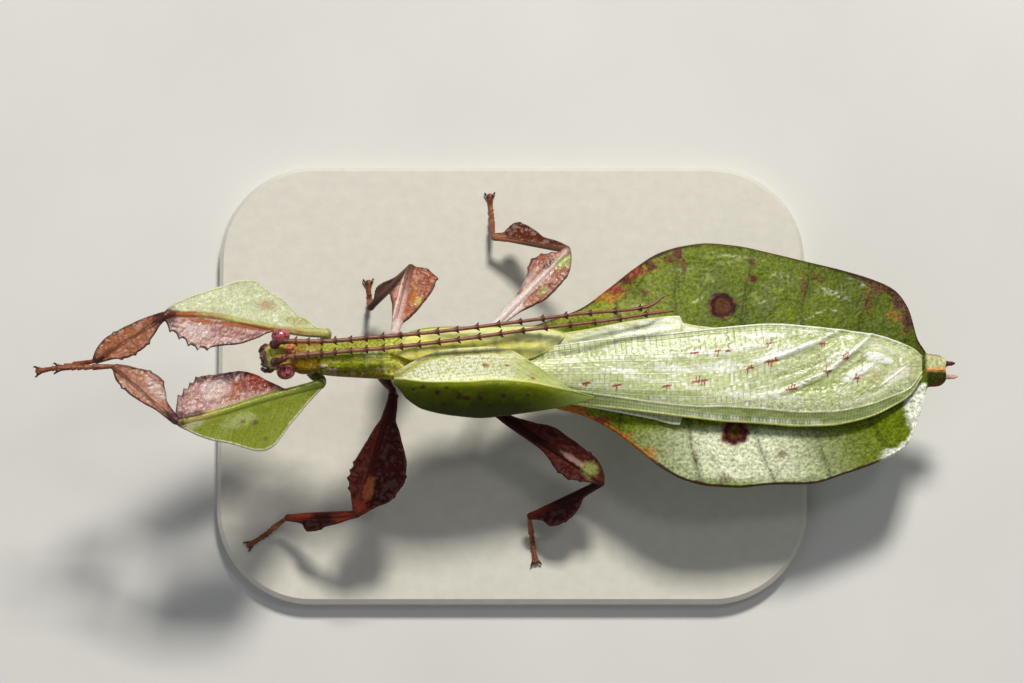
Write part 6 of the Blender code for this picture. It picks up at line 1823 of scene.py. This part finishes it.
def paint_trunk(points, normals):
    x, y, _ = in_body(points)
    up = normals @ BODY_Z
    flat = plan(x, y)
    right, left = smooth(TRUNK_RIGHT, x), smooth(TRUNK_LEFT, x)
    edge = np.where(y < 0, left + y, right - y)
    cloud, fine = layered(flat, 2.4, 131), layered(flat, 0.5, 132)
    line = segment_distance(x, y)

    pucker = leaf_pucker(flat)
    leaf = mix("leaf", "leaf_pale", 0.2 + 0.35 * cloud + 0.15 * fine)
    # Painted light makes the left side paler and painted shade darkens the puckers' creases; the rear of the
    # right side is darker
    leaf = mix(leaf, "leaf_pale", 0.5 * ease(-y, 2.0, 6.0))
    leaf = mix(leaf, "leaf_dark", 0.16 * ease(-pucker, 0.0, 0.9) + 0.4 * ease(x, 25, 33) * (y > 0))
    speckle = ease(noise(flat, 0.3, 139) + 0.6 * noise(flat, 0.16, 140), 0.3, 0.9)
    middle = bump(np.abs(y) - 5.5, 2.4) * ease(0.5 + cloud, 0.0, 1.0) * fade(x, 24, 34)
    leaf = mix(leaf, "leaf_pale", 0.35 * middle)
    leaf = mix(leaf, "leaf_pale", 0.3 * speckle)
    light = fade(x, 10.0, 17.0) * ease(y, 3.0, 5.5) * ease(0.6 + cloud, 0.1, 0.9)
    leaf = mix(leaf, "leaf_light", 0.6 * light)
    # Painted shade in the small pits
    pits = fade(leaf_grains(x, y), 0.0, 0.4)
    leaf = mix(leaf, "leaf_dark", 0.3 * pits)
    leaf = mix(leaf, "leaf_sheen", 0.1 * middle * ease(noise(flat, 0.2, 141), 0.45, 0.8))
    wavy = ease(noise(flat * [0.8, 1.2], 1.5, 142), 0.15, 0.6)
    wavy *= ease(noise(flat * [1.0, 1.4], 0.34, 143), -0.1, 0.5)
    leaf = mix(leaf, "leaf_gleam", 0.5 * wavy * bump(x - 19.5, FAR_AWAY) * ease(edge, 0.5, 1.2))
    glints = patches(x, y, LEAF_GLINTS, 0.4 * noise(flat, 0.3, 148))
    leaf = mix(leaf, "leaf_sheen", 0.5 * glints * ease(noise(flat, 0.2, 149), -0.3, 0.4))
    shiny = bump(x - 19.5 + 0.3 * y, 6.5) * ease(-y, 5.3, 6.8) * fade(-y, 9.8, 11.2)
    leaf = mix(leaf, "leaf_sheen", shiny * (1.15 + 0.15 * pucker + 0.25 * cloud))
    leaf = mix(leaf, "leaf_dark", 0.3 * bump(leaf_veins(x, y), 0.07) * (edge > 0.4))
    suture = bump(line, 0.06) * (0.75 + 0.35 * layered(flat, 0.8, 137))
    leaf = mix(leaf, "leaf_dark", 0.3 * bump(line - 0.16, 0.2))
    leaf = mix(leaf, "suture", 0.95 * suture)
    ragged = 0.1 * layered(flat, 0.7, 133) * (1 + 2 * ease(x, 30, 34))
    heavy = np.where(y > 0, np.interp(x, *RIGHT_MARGIN), np.interp(x, *LEFT_MARGIN))
    dark_rim = fade(edge + ragged, heavy, heavy + 0.14)
    leaf = mix(leaf, "margin", 0.9 * dark_rim)
    front_left = fade(x, 12.5, 14.5) * (y < 0) * fade(edge + ragged, 0.25, 0.4)
    leaf = mix(leaf, "stain_orange", 0.85 * front_left)
    pale_rim = fade(edge + 0.3 * ragged, 0.03, 0.1) * bump(x - 23.5, 7.0) * (y > 0)
    leaf = mix(leaf, "leaf_rim", 0.6 * pale_rim)
    soft, crisp = 0.7 * layered(flat, 0.5, 134), 0.55 * noise(flat, 0.16, 138)
    for cx, cy, along, across, colour, strength in STAINS:
        away = np.hypot((x - cx) / along, (y - cy) / across) + soft + crisp
        leaf = mix(leaf, "stain_orange", 0.22 * strength * fade(away, 0.7, 1.7))
        leaf = mix(leaf, colour, 1.3 * strength * fade(away, 0.6, 1.25))
    # A painted highlight whitens the crumpled corner, with painted shade in brown in its creases
    pale = fray(x, y, edge)
    leaf = mix(leaf, "white", 0.95 * pale * (0.85 + 0.2 * fine))
    leaf = mix(leaf, "stain_and_shade_brown", 0.5 * pale * ease(-crinkle(flat, 175), 0.3, 0.9))
    spot = eyespot_radius(x, y) + 0.09 * noise(flat, 0.3, 135)
    leaf = mix(leaf, "leaf_dark", 0.5 * fade(spot, 1.0, 1.3))
    leaf = mix(leaf, "spot_ring", fade(spot, 0.97, 1.04))
    glow = bump(spot - 0.93, 0.09) * ease(noise(flat, 0.5, 147) - 0.25 * (y - 5.7), 0.0, 0.6)
    leaf = coated(
        leaf,
        ("spot_glow", 0.7 * glow),
        ("spot_centre", (0.9 + 0.3 * fine) * fade(spot, 0.5, 0.75)),
        ("olive", 0.3 * ease(cloud + fine, 0.0, 0.7) * fade(spot, 0.3, 0.6)),
    )
    gloss = 0.42 + 0.06 * cloud + 0.18 * (spot < 1.0)

    plate = mix("plate", "thorax", ease(x + 0.4 * cloud, -18.0, -17.2))
    # Pale lime along the middle of the thorax, partly a painted highlight
    plate = coated(
        plate,
        ("thorax_bright", (0.4 + 0.6 * cloud) * ease(x, -17.6, -17.0) * bump(y - 0.5, 1.0)),
        ("crown", 0.35 * bump(x + 18.9, 1.0) * ease(0.5 + cloud, 0.2, 0.8)),
        ("nape", 0.6 * bump(x + 18.9, 0.9) * bump(y - 0.5, 0.4) * ease(0.6 + fine, 0.2, 0.8)),
    )
    plate = blotted(plate, x, y, THORAX_MARKS, 0.4 * noise(flat, 0.2, 146), 0.5, 1.2)
    patch = bump(x + 12.9, 0.9) * bump(y - 0.15, 0.45)
    # The thorax's sides are browner, the left one more so; the extra on the left is painted shade
    plate = coated(
        plate,
        ("tegmen_pale", 0.6 * patch),
        ("cheek", 0.7 * ease(-y + 0.2 * cloud, 1.0, 1.6) + 0.3 * ease(y, 1.3, 1.7)),
        ("lobe_pink", 0.4 * tubercles(x, y, right, left)),
    )
    grain = ease(noise(flat, 0.22, 136), 0.5, 0.8)
    plate = mix(plate, "tegmen_pale", 0.22 * grain)
    behind = mix("side_green", "right_olive", ease(up, 0.75, 0.95) * (0.75 + 0.3 * cloud))
    plate = mix(plate, behind, ease(x, -12.2, -11.0))
    colours = mix(plate, leaf, ease(x, -5.0, -2.0))

    # The tail's two halves either side of its keel: pale on the right and, as painted shade, dark on the left
    tail = mix("tail", "tail_shaded_half", ease(-y, -0.1, 0.3))
    tail = mix(tail, "orange", 0.9 * bump(y, 0.14))
    tail = mix(tail, "stain_red", 0.5 * fade(edge, 0.1, 0.3))
    colours = mix(colours, tail, ease(x, 38.9, 39.3))
    under = mix("underside", "leaf", 0.3 + 0.4 * cloud + 0.5 * bump(line, 0.2))
    colours = mix(colours, under, ease(-up, 0.0, 0.4))
    return colours, gloss


def paint_head(points, normals):
    u, v, w = in_head(points)
    flat = np.stack([u, v, w], axis=-1)
    cloud, fine = layered(flat, 0.9, 141), layered(flat, 0.25, 142)
    up = np.clip(normals[:, 2], -1, 1)
    colours = mix("crown", "face", ease(u, 0.9, 1.5) + 0.25 * cloud)
    colours = mix(colours, "nape", 0.85 * bump(v - 0.15, 0.6) * fade(u, 0.2, 0.6) * (up > 0))
    # The sides of the head are browner; so is whatever faces down, which is painted shade
    side = ease(np.abs(v), 0.85, 1.3) + ease(-up, 0.1, 0.6)
    colours = mix(colours, "cheek", 0.75 * np.clip(side, 0, 1) * (0.8 + 0.3 * cloud))
    near_eye = eye_depth(u, v, w)
    colours = mix(colours, "rim_dark", 0.8 * bump(near_eye - 1.02, 0.1))
    colours = mix(colours, "stain_orange", 0.4 * bump(near_eye - 1.2, 0.08) * (u < EYE_CENTRE[0]))
    around = np.hypot(u + 0.05, v - 0.2)
    colours = mix(colours, "stain_red", 0.6 * fade(around + 0.1 * fine, 0.45, 0.7))
    colours = mix(colours, "jaw", 0.9 * ease(u + 0.15 * fine, 2.05, 2.25))
    spots = ease(noise(flat, 0.22, 144), 0.45, 0.7)
    colours = mix(colours, "stain_and_shade_brown", 0.4 * spots)
    return colours, 0.42 + 0.06 * cloud


def paint_mouth(points, normals):
    cloud = layered(points, 0.3, 143)
    colours = mix("jaw", "maroon_light", 0.25 + 0.5 * cloud)
    # Pink painted highlights on what faces up
    colours = mix(colours, "eye_highlight", 0.3 * ease(normals[:, 2] + 0.5 * cloud, 0.6, 1.1))
    return colours, 0.24 + 0.05 * cloud


def paint_socket(points, normals):
    cloud = layered(points, 0.3, 145)
    return mix("purple_dark", "purple_red", 0.5 + 0.8 * cloud), 0.3 + 0.05 * cloud


def paint_ocellus(points, normals):
    u, _, w = in_head(points)
    # A painted highlight on the top of each ocellus
    top = ease(w - smooth(HEAD_TOP, u), 0.1, 0.3)
    return mix("ocellus", "ocellus_highlight", 0.7 * top), np.full(len(points), 0.15)


def paint_cercus(points, normals):
    y = in_body(points)[1]
    return mix("cercus_left", "cercus_right", (y > 0) * 1.0), np.full(len(points), 0.4)


# How each limb is coloured: shaft near and far, left lobe and right lobe
LIMB_LOOKS = {
    "femur_fore_right": ("shaft_lime", "shaft_orange", "lobe_pink", "fore_pale"),
    "femur_fore_left": ("fore_shaft", "olive_pale", "fore_green", "lobe_plum"),
    "tibia_fore_right": ("lobe_tan", "rim_dark", "lobe_tan", "lobe_tan"),
    "tibia_fore_left": ("lobe_clay", "lobe_tan", "lobe_clay", "lobe_clay"),
    "femur_mid_right": ("lobe_pink", "lobe_brown", "lobe_tan", "salmon"),
    "tibia_mid_right": ("lobe_brown", "rim_dark", "lobe_brown", "lobe_brown"),
    "femur_hind_right": ("lobe_white", "lobe_pink", "lobe_rose", "lobe_rose"),
    "tibia_hind_right": ("lobe_brown", "lobe_tan", "chestnut", "chestnut"),
    "femur_mid_left": ("maroon", "maroon_light", "maroon", "maroon_light"),
    "tibia_mid_left": ("maroon", "stain_red", "maroon", "maroon_light"),
    "femur_hind_left": ("maroon", "maroon_light", "maroon_light", "maroon_light"),
    "tibia_hind_left": ("maroon", "maroon_light", "maroon", "maroon"),
}
PLAIN_RIMS = ("rim_dark", "rim_dark")
LIMB_RIMS = {"femur_fore_right": ("rim_dark", "fore_rim"), "femur_fore_left": ("fore_rim", "rim_dark")}
GREEN_LOBES = ("fore_pale", "fore_green")
DARK_MIDRIBS = ("tibia_fore_right", "tibia_fore_left", "tibia_hind_right")

# Blots of another colour on a limb: distance along it, to its left, size along and across, colour, strength
LIMB_BLOTS = {
    "femur_fore_right": [
        (6.3, -1.9, 1.3, 0.6, "lobe_tan", 0.45), (9.3, 1.0, 2.6, 0.5, "stain_red", 0.35),
        (12.5, 1.2, 1.2, 0.8, "lobe_white", 0.5), (14.9, 0.0, 0.8, 0.9, "purple_dark", 0.8),
        (6.9, 0.3, 1.6, 0.35, "stain_red", 0.6), (3.0, -0.9, 1.5, 0.4, "olive_pale", 0.6),
        (9.0, 0.2, 7.5, 0.28, "shaft_orange", 0.9),
    ],
    "femur_fore_left": [
        (5.8, -1.7, 3.2, 1.5, "stain_red", 0.95), (7.6, -3.0, 3.2, 0.7, "purple_dark", 0.85),
        (8.7, -1.3, 1.6, 0.8, "stain_orange", 0.35), (9.9, -1.9, 1.6, 1.0, "lobe_white", 0.5),
        (12.9, -0.15, 2.0, 0.3, "stain_and_shade_brown", 0.85), (11.2, -3.2, 1.0, 0.35, "purple_dark", 0.6),
        (7.2, 1.9, 0.5, 0.3, "stain_and_shade_brown", 0.7), (8.3, 1.4, 1.8, 0.7, "band_pale", 0.3),
        (8.3, 1.6, 0.4, 0.2, "stain_and_shade_brown", 0.6), (6.6, 3.6, 0.25, 0.2, "stain_and_shade_brown", 0.6),
        (12.8, 0.6, 1.2, 0.4, "lobe_white", 0.25), (13.8, -0.2, 0.9, 0.8, "purple_dark", 0.8),
    ],
    "femur_mid_right": [
        (5.4, -0.9, 1.4, 0.3, "stain_orange", 0.9), (5.0, -1.4, 0.8, 0.3, "yellow", 0.5),
        (7.2, -1.6, 1.6, 0.8, "stain_red", 0.5), (5.0, 0.5, 4.0, 0.12, "lobe_white", 0.8),
        (5.0, 0.15, 4.0, 0.1, "rim_dark", 0.5), (1.0, 0.0, 1.0, 1.0, "lobe_white", 0.6),
    ],
    "femur_hind_right": [
        (10.0, -0.5, 1.0, 0.6, "wing_green", 0.85), (6.3, -1.0, 0.9, 0.5, "wing_green", 0.7),
        (2.2, 0.0, 2.2, 1.2, "lobe_white", 0.75), (8.6, 0.4, 0.8, 0.3, "rim_dark", 0.8),
        (6.0, 0.8, 2.0, 0.5, "lobe_white", 0.4), (8.6, 1.2, 1.0, 0.4, "stain_red", 0.4),
    ],
    "femur_hind_left": [
        (10.6, 0.3, 0.9, 0.8, "wing_green", 0.6), (8.5, 0.3, 1.4, 0.3, "lobe_pink", 0.4),
    ],
    "femur_mid_left": [(9.5, 0.3, 1.6, 0.5, "rust", 0.6), (11.2, 0.0, 0.8, 0.8, "stain_red", 0.5)],
    "tibia_mid_left": [(1.5, 0.3, 1.6, 0.5, "stain_red", 0.6)],
    "tibia_fore_left": [(3.5, -1.0, 1.2, 0.6, "lobe_white", 0.5), (0.2, 0.0, 1.3, 0.9, "purple_dark", 0.9)],
    "tibia_fore_right": [(0.2, 0.0, 1.3, 0.9, "purple_dark", 0.85), (4.2, 0.8, 2.6, 0.4, "lobe_rose", 0.5)],
}


def paint_limb(limb, points, normals):
    s, w, _ = limb.find(points)
    inside = np.clip(s, 0, limb.length)
    offset, radius = limb.shaft(inside)
    reach = np.where(w > offset, limb.edge("left", inside), limb.edge("right", inside))
    edge = np.where(w > offset, reach - w, reach + w)
    out = np.abs(w - offset) - radius
    flat = plan(s, w)
    cloud, fine = layered(flat, 1.2, 151), layered(flat, 0.25, 152)
    near, far, left, right = LIMB_LOOKS[limb.name]
    left_rim, right_rim = LIMB_RIMS.get(limb.name, PLAIN_RIMS)
    share = s / limb.length
    pucker = lobe_pucker(flat)
    shaft = mix(near, far, ease(share + 0.15 * cloud, 0.5, 0.9))

    lobes = []
    for key in (right, left):
        green = key in GREEN_LOBES
        crease = "fore_crease" if green else COLOURS[key] * [0.36, 0.24, 0.22]
        crest = "white" if key == "fore_pale" else "band_pale"
        dark = key.startswith("maroon")
        whiteness = 0.04 if dark else 0.7 if key.startswith("lobe_p") else 0.45
        crest = crest if green else mix(key, "lobe_white", whiteness)
        # Painted shade darkens the creases of the crinkle and painted highlights lighten its crests; the pale
        # green lobe gets painted white glitter and the other green one random specks
        lobe = mix(key, crease, (0.12 if green else 0.6) * ease(-pucker, -0.1, 0.8))
        smooth_speckle = ease(layered(flat, 0.28, 153, 2), 0.15, 0.55)
        speckle = smooth_speckle if green else ease(pucker + 0.4 * fine, 0.3, 1.0)
        lobe = mix(lobe, crest, (0.45 if key == "fore_pale" else 0.06 if green else 0.6) * speckle)
        lobe = mix(lobe, crease, (0.15 if green else 0.35) * ease(cloud, 0.1, 0.8))
        lobes.append(lobe)
    on_left = (w > offset) * 1.0
    lobe = mix(lobes[0], lobes[1], on_left)
    rim = mix(right_rim, left_rim, on_left)
    lobe = mix(lobe, rim, 0.8 * fade(edge + 0.08 * fine, 0.1, 0.28))
    colours = mix(shaft, lobe, ease(out, -0.05, 0.15))
    if limb.name in DARK_MIDRIBS:
        lined = bump(w - offset + 0.05 * noise(flat, 0.8, 154), 0.1) * (reach > 0.6)
        colours = mix(mix(colours, lobe, 0.7 * (reach > 0.6)), "rim_dark", 0.75 * lined)
    colours = mix(colours, "rim_dark", 0.2 * bump(out, 0.08))
    colours = blotted(colours, s, w, LIMB_BLOTS.get(limb.name, []), 0.45 * cloud + 0.3 * fine, 0.45, 1.15)
    wide = 1.6 if "fore" in limb.name else 1.0
    start = 0.6 if "tibia" in limb.name else 0.3
    knees = 0.6 * bump(s - limb.length, 0.35 * wide) + start * bump(s, 0.25 * wide)
    colours = mix(colours, "rim_dark", knees)
    below = ease(-(normals @ limb.up), 0.1, 0.5)
    colours = mix(colours, mix(near, "lobe_brown", 0.5), 0.35 * below)
    dull = 0.24 * near.startswith("maroon") + 0.3 * (left == "fore_green") * on_left
    return colours, 0.34 + dull + 0.1 * cloud - 0.06 * pucker


def paint_coxa(name, points, normals):
    cloud = layered(points, 0.8, 161)
    if "fore" not in name:
        base = "maroon_light" if "left" in name else "rust"
        return mix(base, "rim_dark", 0.15 + 0.3 * cloud), 0.4 + 0.05 * cloud
    leg = name.removeprefix("coxa_")
    hip = lifted(LEGS[leg]["joints"][0])
    away = np.linalg.norm(points - hip, axis=1)
    near = ease(away + 0.2 * cloud, 0.5, 1.4)
    shaft = LIMB_LOOKS["femur_" + leg][0]
    base = mix(shaft, "cheek", 0.1 + 0.8 * near + 0.2 * cloud)
    # Painted shade darkens the fore coxa away from its upward face, which stays light
    knob = ease(normals[:, 2] + 0.5 * layered(points, 0.3, 163), 0.7, 1.1)
    base = mix(base, "rim_dark", 0.4 * near * (1 - knob))
    return mix(base, "maroon_light", 0.5 * bump(away - 0.9, 0.16)), 0.42 + 0.05 * cloud


def paint_tarsus(points, normals):
    cloud = layered(points, 0.5, 162)
    colours = mix("chestnut", "lobe_tan", 0.3 + 0.6 * cloud)
    colours = mix(colours, "pad", 0.4 * ease(-normals[:, 2], 0.3, 0.8))
    return colours, 0.4 + 0.05 * cloud


PAINTERS = {"trunk": paint_trunk, "head": paint_head, "mouth": paint_mouth, "ocellus": paint_ocellus,
            "cercus": paint_cercus, "socket": paint_socket, "tarsus": paint_tarsus}


def paint_part(name, limbs, points, normals):
    if name in limbs:
        return paint_limb(limbs[name], points, normals)
    if name.startswith("coxa"):
        return paint_coxa(name, points, normals)
    return PAINTERS[name.split("_")[0]](points, normals)


def finish_of(name):
    """Which of the skin's finishes a part has: body, head, limb or dark limb."""
    if name in DARK_LIMBS:
        return 3
    if name in ("trunk", "cercus"):
        return 0
    return 1 if name in ("head", "mouth", "ocellus", "socket") else 2


def build_skin(parts, limbs, materials):
    """The one skin of trunk, head and legs, softened where parts meet, and painted part by part."""
    mesh, names = union(parts)
    points, faces, part = arrays_of(mesh)
    bpy.data.meshes.remove(mesh)
    points = soften_joins(points, faces, part)
    piece = add_piece("skin", (points, faces))
    mesh = piece.data
    normals = np.empty(len(mesh.vertices) * 3, np.float32)
    mesh.vertex_normals.foreach_get("vector", normals)
    normals = normals.reshape(-1, 3).astype(float)
    if outward(points, faces) is not faces:
        faces = faces[:, ::-1]
    colours = np.zeros((faces.size, 3))
    gloss = np.zeros(faces.size)
    slots = np.zeros(len(faces), np.int32)
    for index, name in enumerate(names):
        mine = np.flatnonzero(part == index)
        if not len(mine):
            continue
        corners = faces[mine]
        used, place = np.unique(corners, return_inverse=True)
        tint, rough = paint_part(name, limbs, points[used], normals[used])
        rows = (mine[:, None] * 3 + np.arange(3)).ravel()
        colours[rows] = tint[place.ravel()]
        gloss[rows] = rough[place.ravel()]
        slots[mine] = finish_of(name)
    for material in materials:
        mesh.materials.append(material)
    mesh.polygons.foreach_set("material_index", slots)
    set_colours(mesh, colours, gloss, "CORNER")
    return piece


def build_eyes(material):
    axes = head_axes()
    pieces = []
    for side, name in ((1, "eye_ball_right"), (-1, "eye_ball_left")):
        u, v, w = EYE_CENTRE
        points, faces = ball(on_head(u, side * v, w), EYE_RADII, axes, 60, 90)
        piece = add_piece(name, (points, faces), material)
        _, _, height = in_head(points)
        band = layered(points, 0.6, 171)
        # Darker towards the bottom of each eye, a painted shade, with random bands and mottling; a painted
        # highlight on top
        colours = mix("eye", "eye_dark", 0.3 + 0.5 * band + 0.5 * ease(-height, -0.3, 0.4))
        mottle = layered(points, 0.22, 172, 2)
        eye_top_highlight = ease(height + 0.4 * band, 0.6, 1.1) * ease(-mottle, -0.4, 0.3)
        colours = mix(colours, "eye_dark", 0.5 * ease(mottle, 0.1, 0.6))
        colours = mix(colours, "eye_highlight", 0.7 * eye_top_highlight)
        set_colours(piece.data, colours, 0.2)
        pieces.append(piece)
    return pieces


def build_claws(shapes, material):
    piece = add_piece("claws", joined(shapes), material)
    set_colours(piece.data, np.tile(COLOURS["claw"], (len(piece.data.vertices), 1)), 0.25)
    return piece


def cercus_shapes():
    shapes = []
    for root, offset, length in ((41.0, 0.65, 0.95), (41.0, -0.6, 1.2)):
        start = np.array([root - 0.3, offset, -0.75])
        route = [start, start + [0.5 * length, 0, 0.03], start + [length + 0.25, 0.03, 0.06]]
        path = curve_through([on_body(*point) for point in route], 24)
        along = np.linspace(0, 1, 24)
        radii = 0.24 * np.sqrt(np.clip(1 - along**3, 0.02, 1)) * (1 + 0.08 * np.sin(along * 20))
        shapes.append(("cercus", tube(path, radii, 16)))
    return shapes


# The base, the floor, the lights and the camera
FLOOR_SIZE = 1.2
GRAIN_SHADE = 0.93  # how dark the grain of the base and the floor is beside their lightest parts
CAMERA_TILT = math.radians(9.0)
CAMERA_DISTANCE = 0.39467
CAMERA_TARGET = np.array([0.0, 0.0021, 0.0143])
LENS, SENSOR = 150.0, 36.0
SKY_COLOUR, SKY_STRENGTH = (0.9, 0.93, 1.0, 1), 0.17

# Lights: name, power, size, azimuth, elevation, distance and colour
LIGHTS = [
    ("key", 3.6, 0.1, 78.0, 52.0, 0.6, (1.0, 0.96, 0.88)),
    ("glint", 0.22, 0.08, 36.0, 70.0, 0.6, (1.0, 0.98, 0.94)),
    ("fill", 0.6, 0.7, 220.0, 40.0, 0.8, (0.92, 0.96, 1.0)),
]


def plain_material(name, colour, rough, scale, depth):
    """A plain pale surface with slight variation in colour and a fine grain."""
    made, tree, shader = new_material(name)
    grain = add_node(tree, "TexNoise", Scale=scale, Detail=4.0)
    tree.links.new(add_node(tree, "TexCoord").outputs["Object"], grain.inputs["Vector"])
    ramp = add_node(tree, "ValToRGB")
    darker, lighter = ramp.color_ramp.elements
    darker.position, lighter.position = NOISE_SPAN
    darker.color = (*[value * GRAIN_SHADE for value in colour], 1)
    lighter.color = (*colour, 1)
    tree.links.new(grain.outputs["Fac"], ramp.inputs["Fac"])
    tree.links.new(ramp.outputs["Color"], shader.inputs["Base Color"])
    relief = add_node(tree, "Bump", Distance=depth)
    tree.links.new(grain.outputs["Fac"], relief.inputs["Height"])
    tree.links.new(relief.outputs["Normal"], shader.inputs["Normal"])
    shader.inputs["Roughness"].default_value = rough
    return made


def build_stage():
    half = FLOOR_SIZE / 2
    corners = np.array([[-half, -half, 0], [half, -half, 0], [half, half, 0], [-half, half, 0]]) / MM
    mesh = mesh_of("floor", corners, np.array([[0, 1, 2], [0, 2, 3]]))
    mesh.materials.append(plain_material("floor_pale", (0.7, 0.7, 0.68), 0.9, 40.0, 0.0))
    floor = add_object("floor", mesh)


def add_light(name, power, size, azimuth, elevation, distance, colour):
    """A square area light that looks at the insect. The azimuth turns from +X towards +Y."""
    lamp = bpy.data.lights.new(name, "AREA")
    lamp.energy = power
    lamp.size = size
    lamp.color = colour
    made = add_object(name, lamp)
    turn, rise = math.radians(azimuth), math.radians(elevation)
    direction = np.array([math.cos(turn) * math.cos(rise), math.sin(turn) * math.cos(rise), math.sin(rise)])
    made.location = CAMERA_TARGET + distance * direction
    made.rotation_euler = (math.pi / 2 - rise, 0, turn + math.pi / 2)


def build_lights():
    for light in LIGHTS:
        add_light(*light)
    world = bpy.data.worlds.new("studio")
    world.use_nodes = True
    sky = world.node_tree.nodes["Background"]
    sky.inputs["Color"].default_value = SKY_COLOUR
    sky.inputs["Strength"].default_value = SKY_STRENGTH
    bpy.context.scene.world = world


def build_camera():
    lens = bpy.data.cameras.new("camera")
    lens.lens = LENS
    lens.sensor_width = SENSOR
    lens.clip_start = 0.01
    camera = add_object("camera", lens)
    direction = np.array([0.0, -math.sin(CAMERA_TILT), math.cos(CAMERA_TILT)])
    camera.location = CAMERA_TARGET + CAMERA_DISTANCE * direction
    camera.rotation_euler = (CAMERA_TILT, 0, 0)
    bpy.context.scene.camera = camera


# The plain solids that the skin takes the place of, besides the legs
SKIN_NODES = [
    "head", "pronotum", "mesothorax", "metathorax", "abdomen", "tail", "cercus_right", "cercus_left",
]


def main():
    bpy.context.scene.view_settings.view_transform = "Standard"
    build_camera()
    build_lights()
    build_stage()
    body = material_of("leaf_skin", 0.26, 0.07, 0.8, 0.05, mirror=0.12, light_through=0.03, speckle=0.42)
    hard = material_of("head_skin", 0.06, 0.015, 0.35, 0.02, coat=0.15, cell=True)
    limb = material_of("limb_skin", 0.12, 0.016, 0.45, 0.02, mirror=0.32, speckle=0.24)
    dark = material_of("dark_limb_skin", 0.12, 0.016, 0.45, 0.02, mirror=0.1, speckle=0.24)
    membrane = material_of("wing_skin", 0.12, 0.012, 0.5, 0.02, coat=0.1, mirror=0.5, light_through=0.1,
                           speckle=0.14)
    leather = material_of("tegmen_skin", 0.08, 0.012, 0.5, 0.02, mirror=0.12, light_through=0.06)
    feeler = material_of("feeler_skin", 0.05, 0.01, 0.3, 0.01, coat=0.1)
    lens = material_of("eye_glaze", 0.035, 0.004, 0.5, 0.0, coat=0.8, cell=True, mirror=0.5)
    horn = material_of("claw_horn", 0.05, 0.003, 0.3, 0.004, coat=0.4, mirror=0.5)

    parts, limbs, claws = leg_parts()
    whole = [("trunk", loft(trunk_rings()))] + head_parts() + parts + cercus_shapes()
    skin = build_skin(whole, limbs, [body, hard, limb, dark])
    pieces = {
        "skin": skin,
        "wing_left": build_left_wing(membrane),
        "wing_right": build_right_wing(membrane),
        "tegmen_left": build_tegmen("fore_wing_left", *LEFT_TEGMEN, True, leather),
        "tegmen_right": build_tegmen("fore_wing_right", *RIGHT_TEGMEN, False, leather),
        "antenna_right": build_antenna("antenna_right", feeler),
        "antenna_left": build_antenna("antenna_left", feeler),
        "claws": build_claws(claws, horn),
    }
    eyes = build_eyes(lens)
    for piece in [*pieces.values(), *eyes]:
        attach(piece, "root")
    return pieces, eyes


def say_what_stands_for_what():
    """Hides the plain solids that the pieces take the place of."""
    flesh = list(SKIN_NODES)
    for leg in LEGS:
        flesh += [kind + leg for kind in ("coxa_", "femur_", "tibia_", "tarsus_")]
    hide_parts(*flesh)
    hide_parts("hindwing_left")
    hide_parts("hindwing_right")
    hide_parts("tegmen_left")
    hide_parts("tegmen_right")
    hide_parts("antenna_right")
    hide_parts("antenna_left")
    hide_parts("eye_right")
    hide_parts("eye_left")


def finish_base():
    ivory = plain_material("base_ivory_finish", (0.66, 0.64, 0.57), 0.55, 900.0, 0.00003)
    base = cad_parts["stand_base"]
    for holder in base.material_slots:
        holder.material = ivory


pieces, eyes = main()
say_what_stands_for_what()
finish_base()
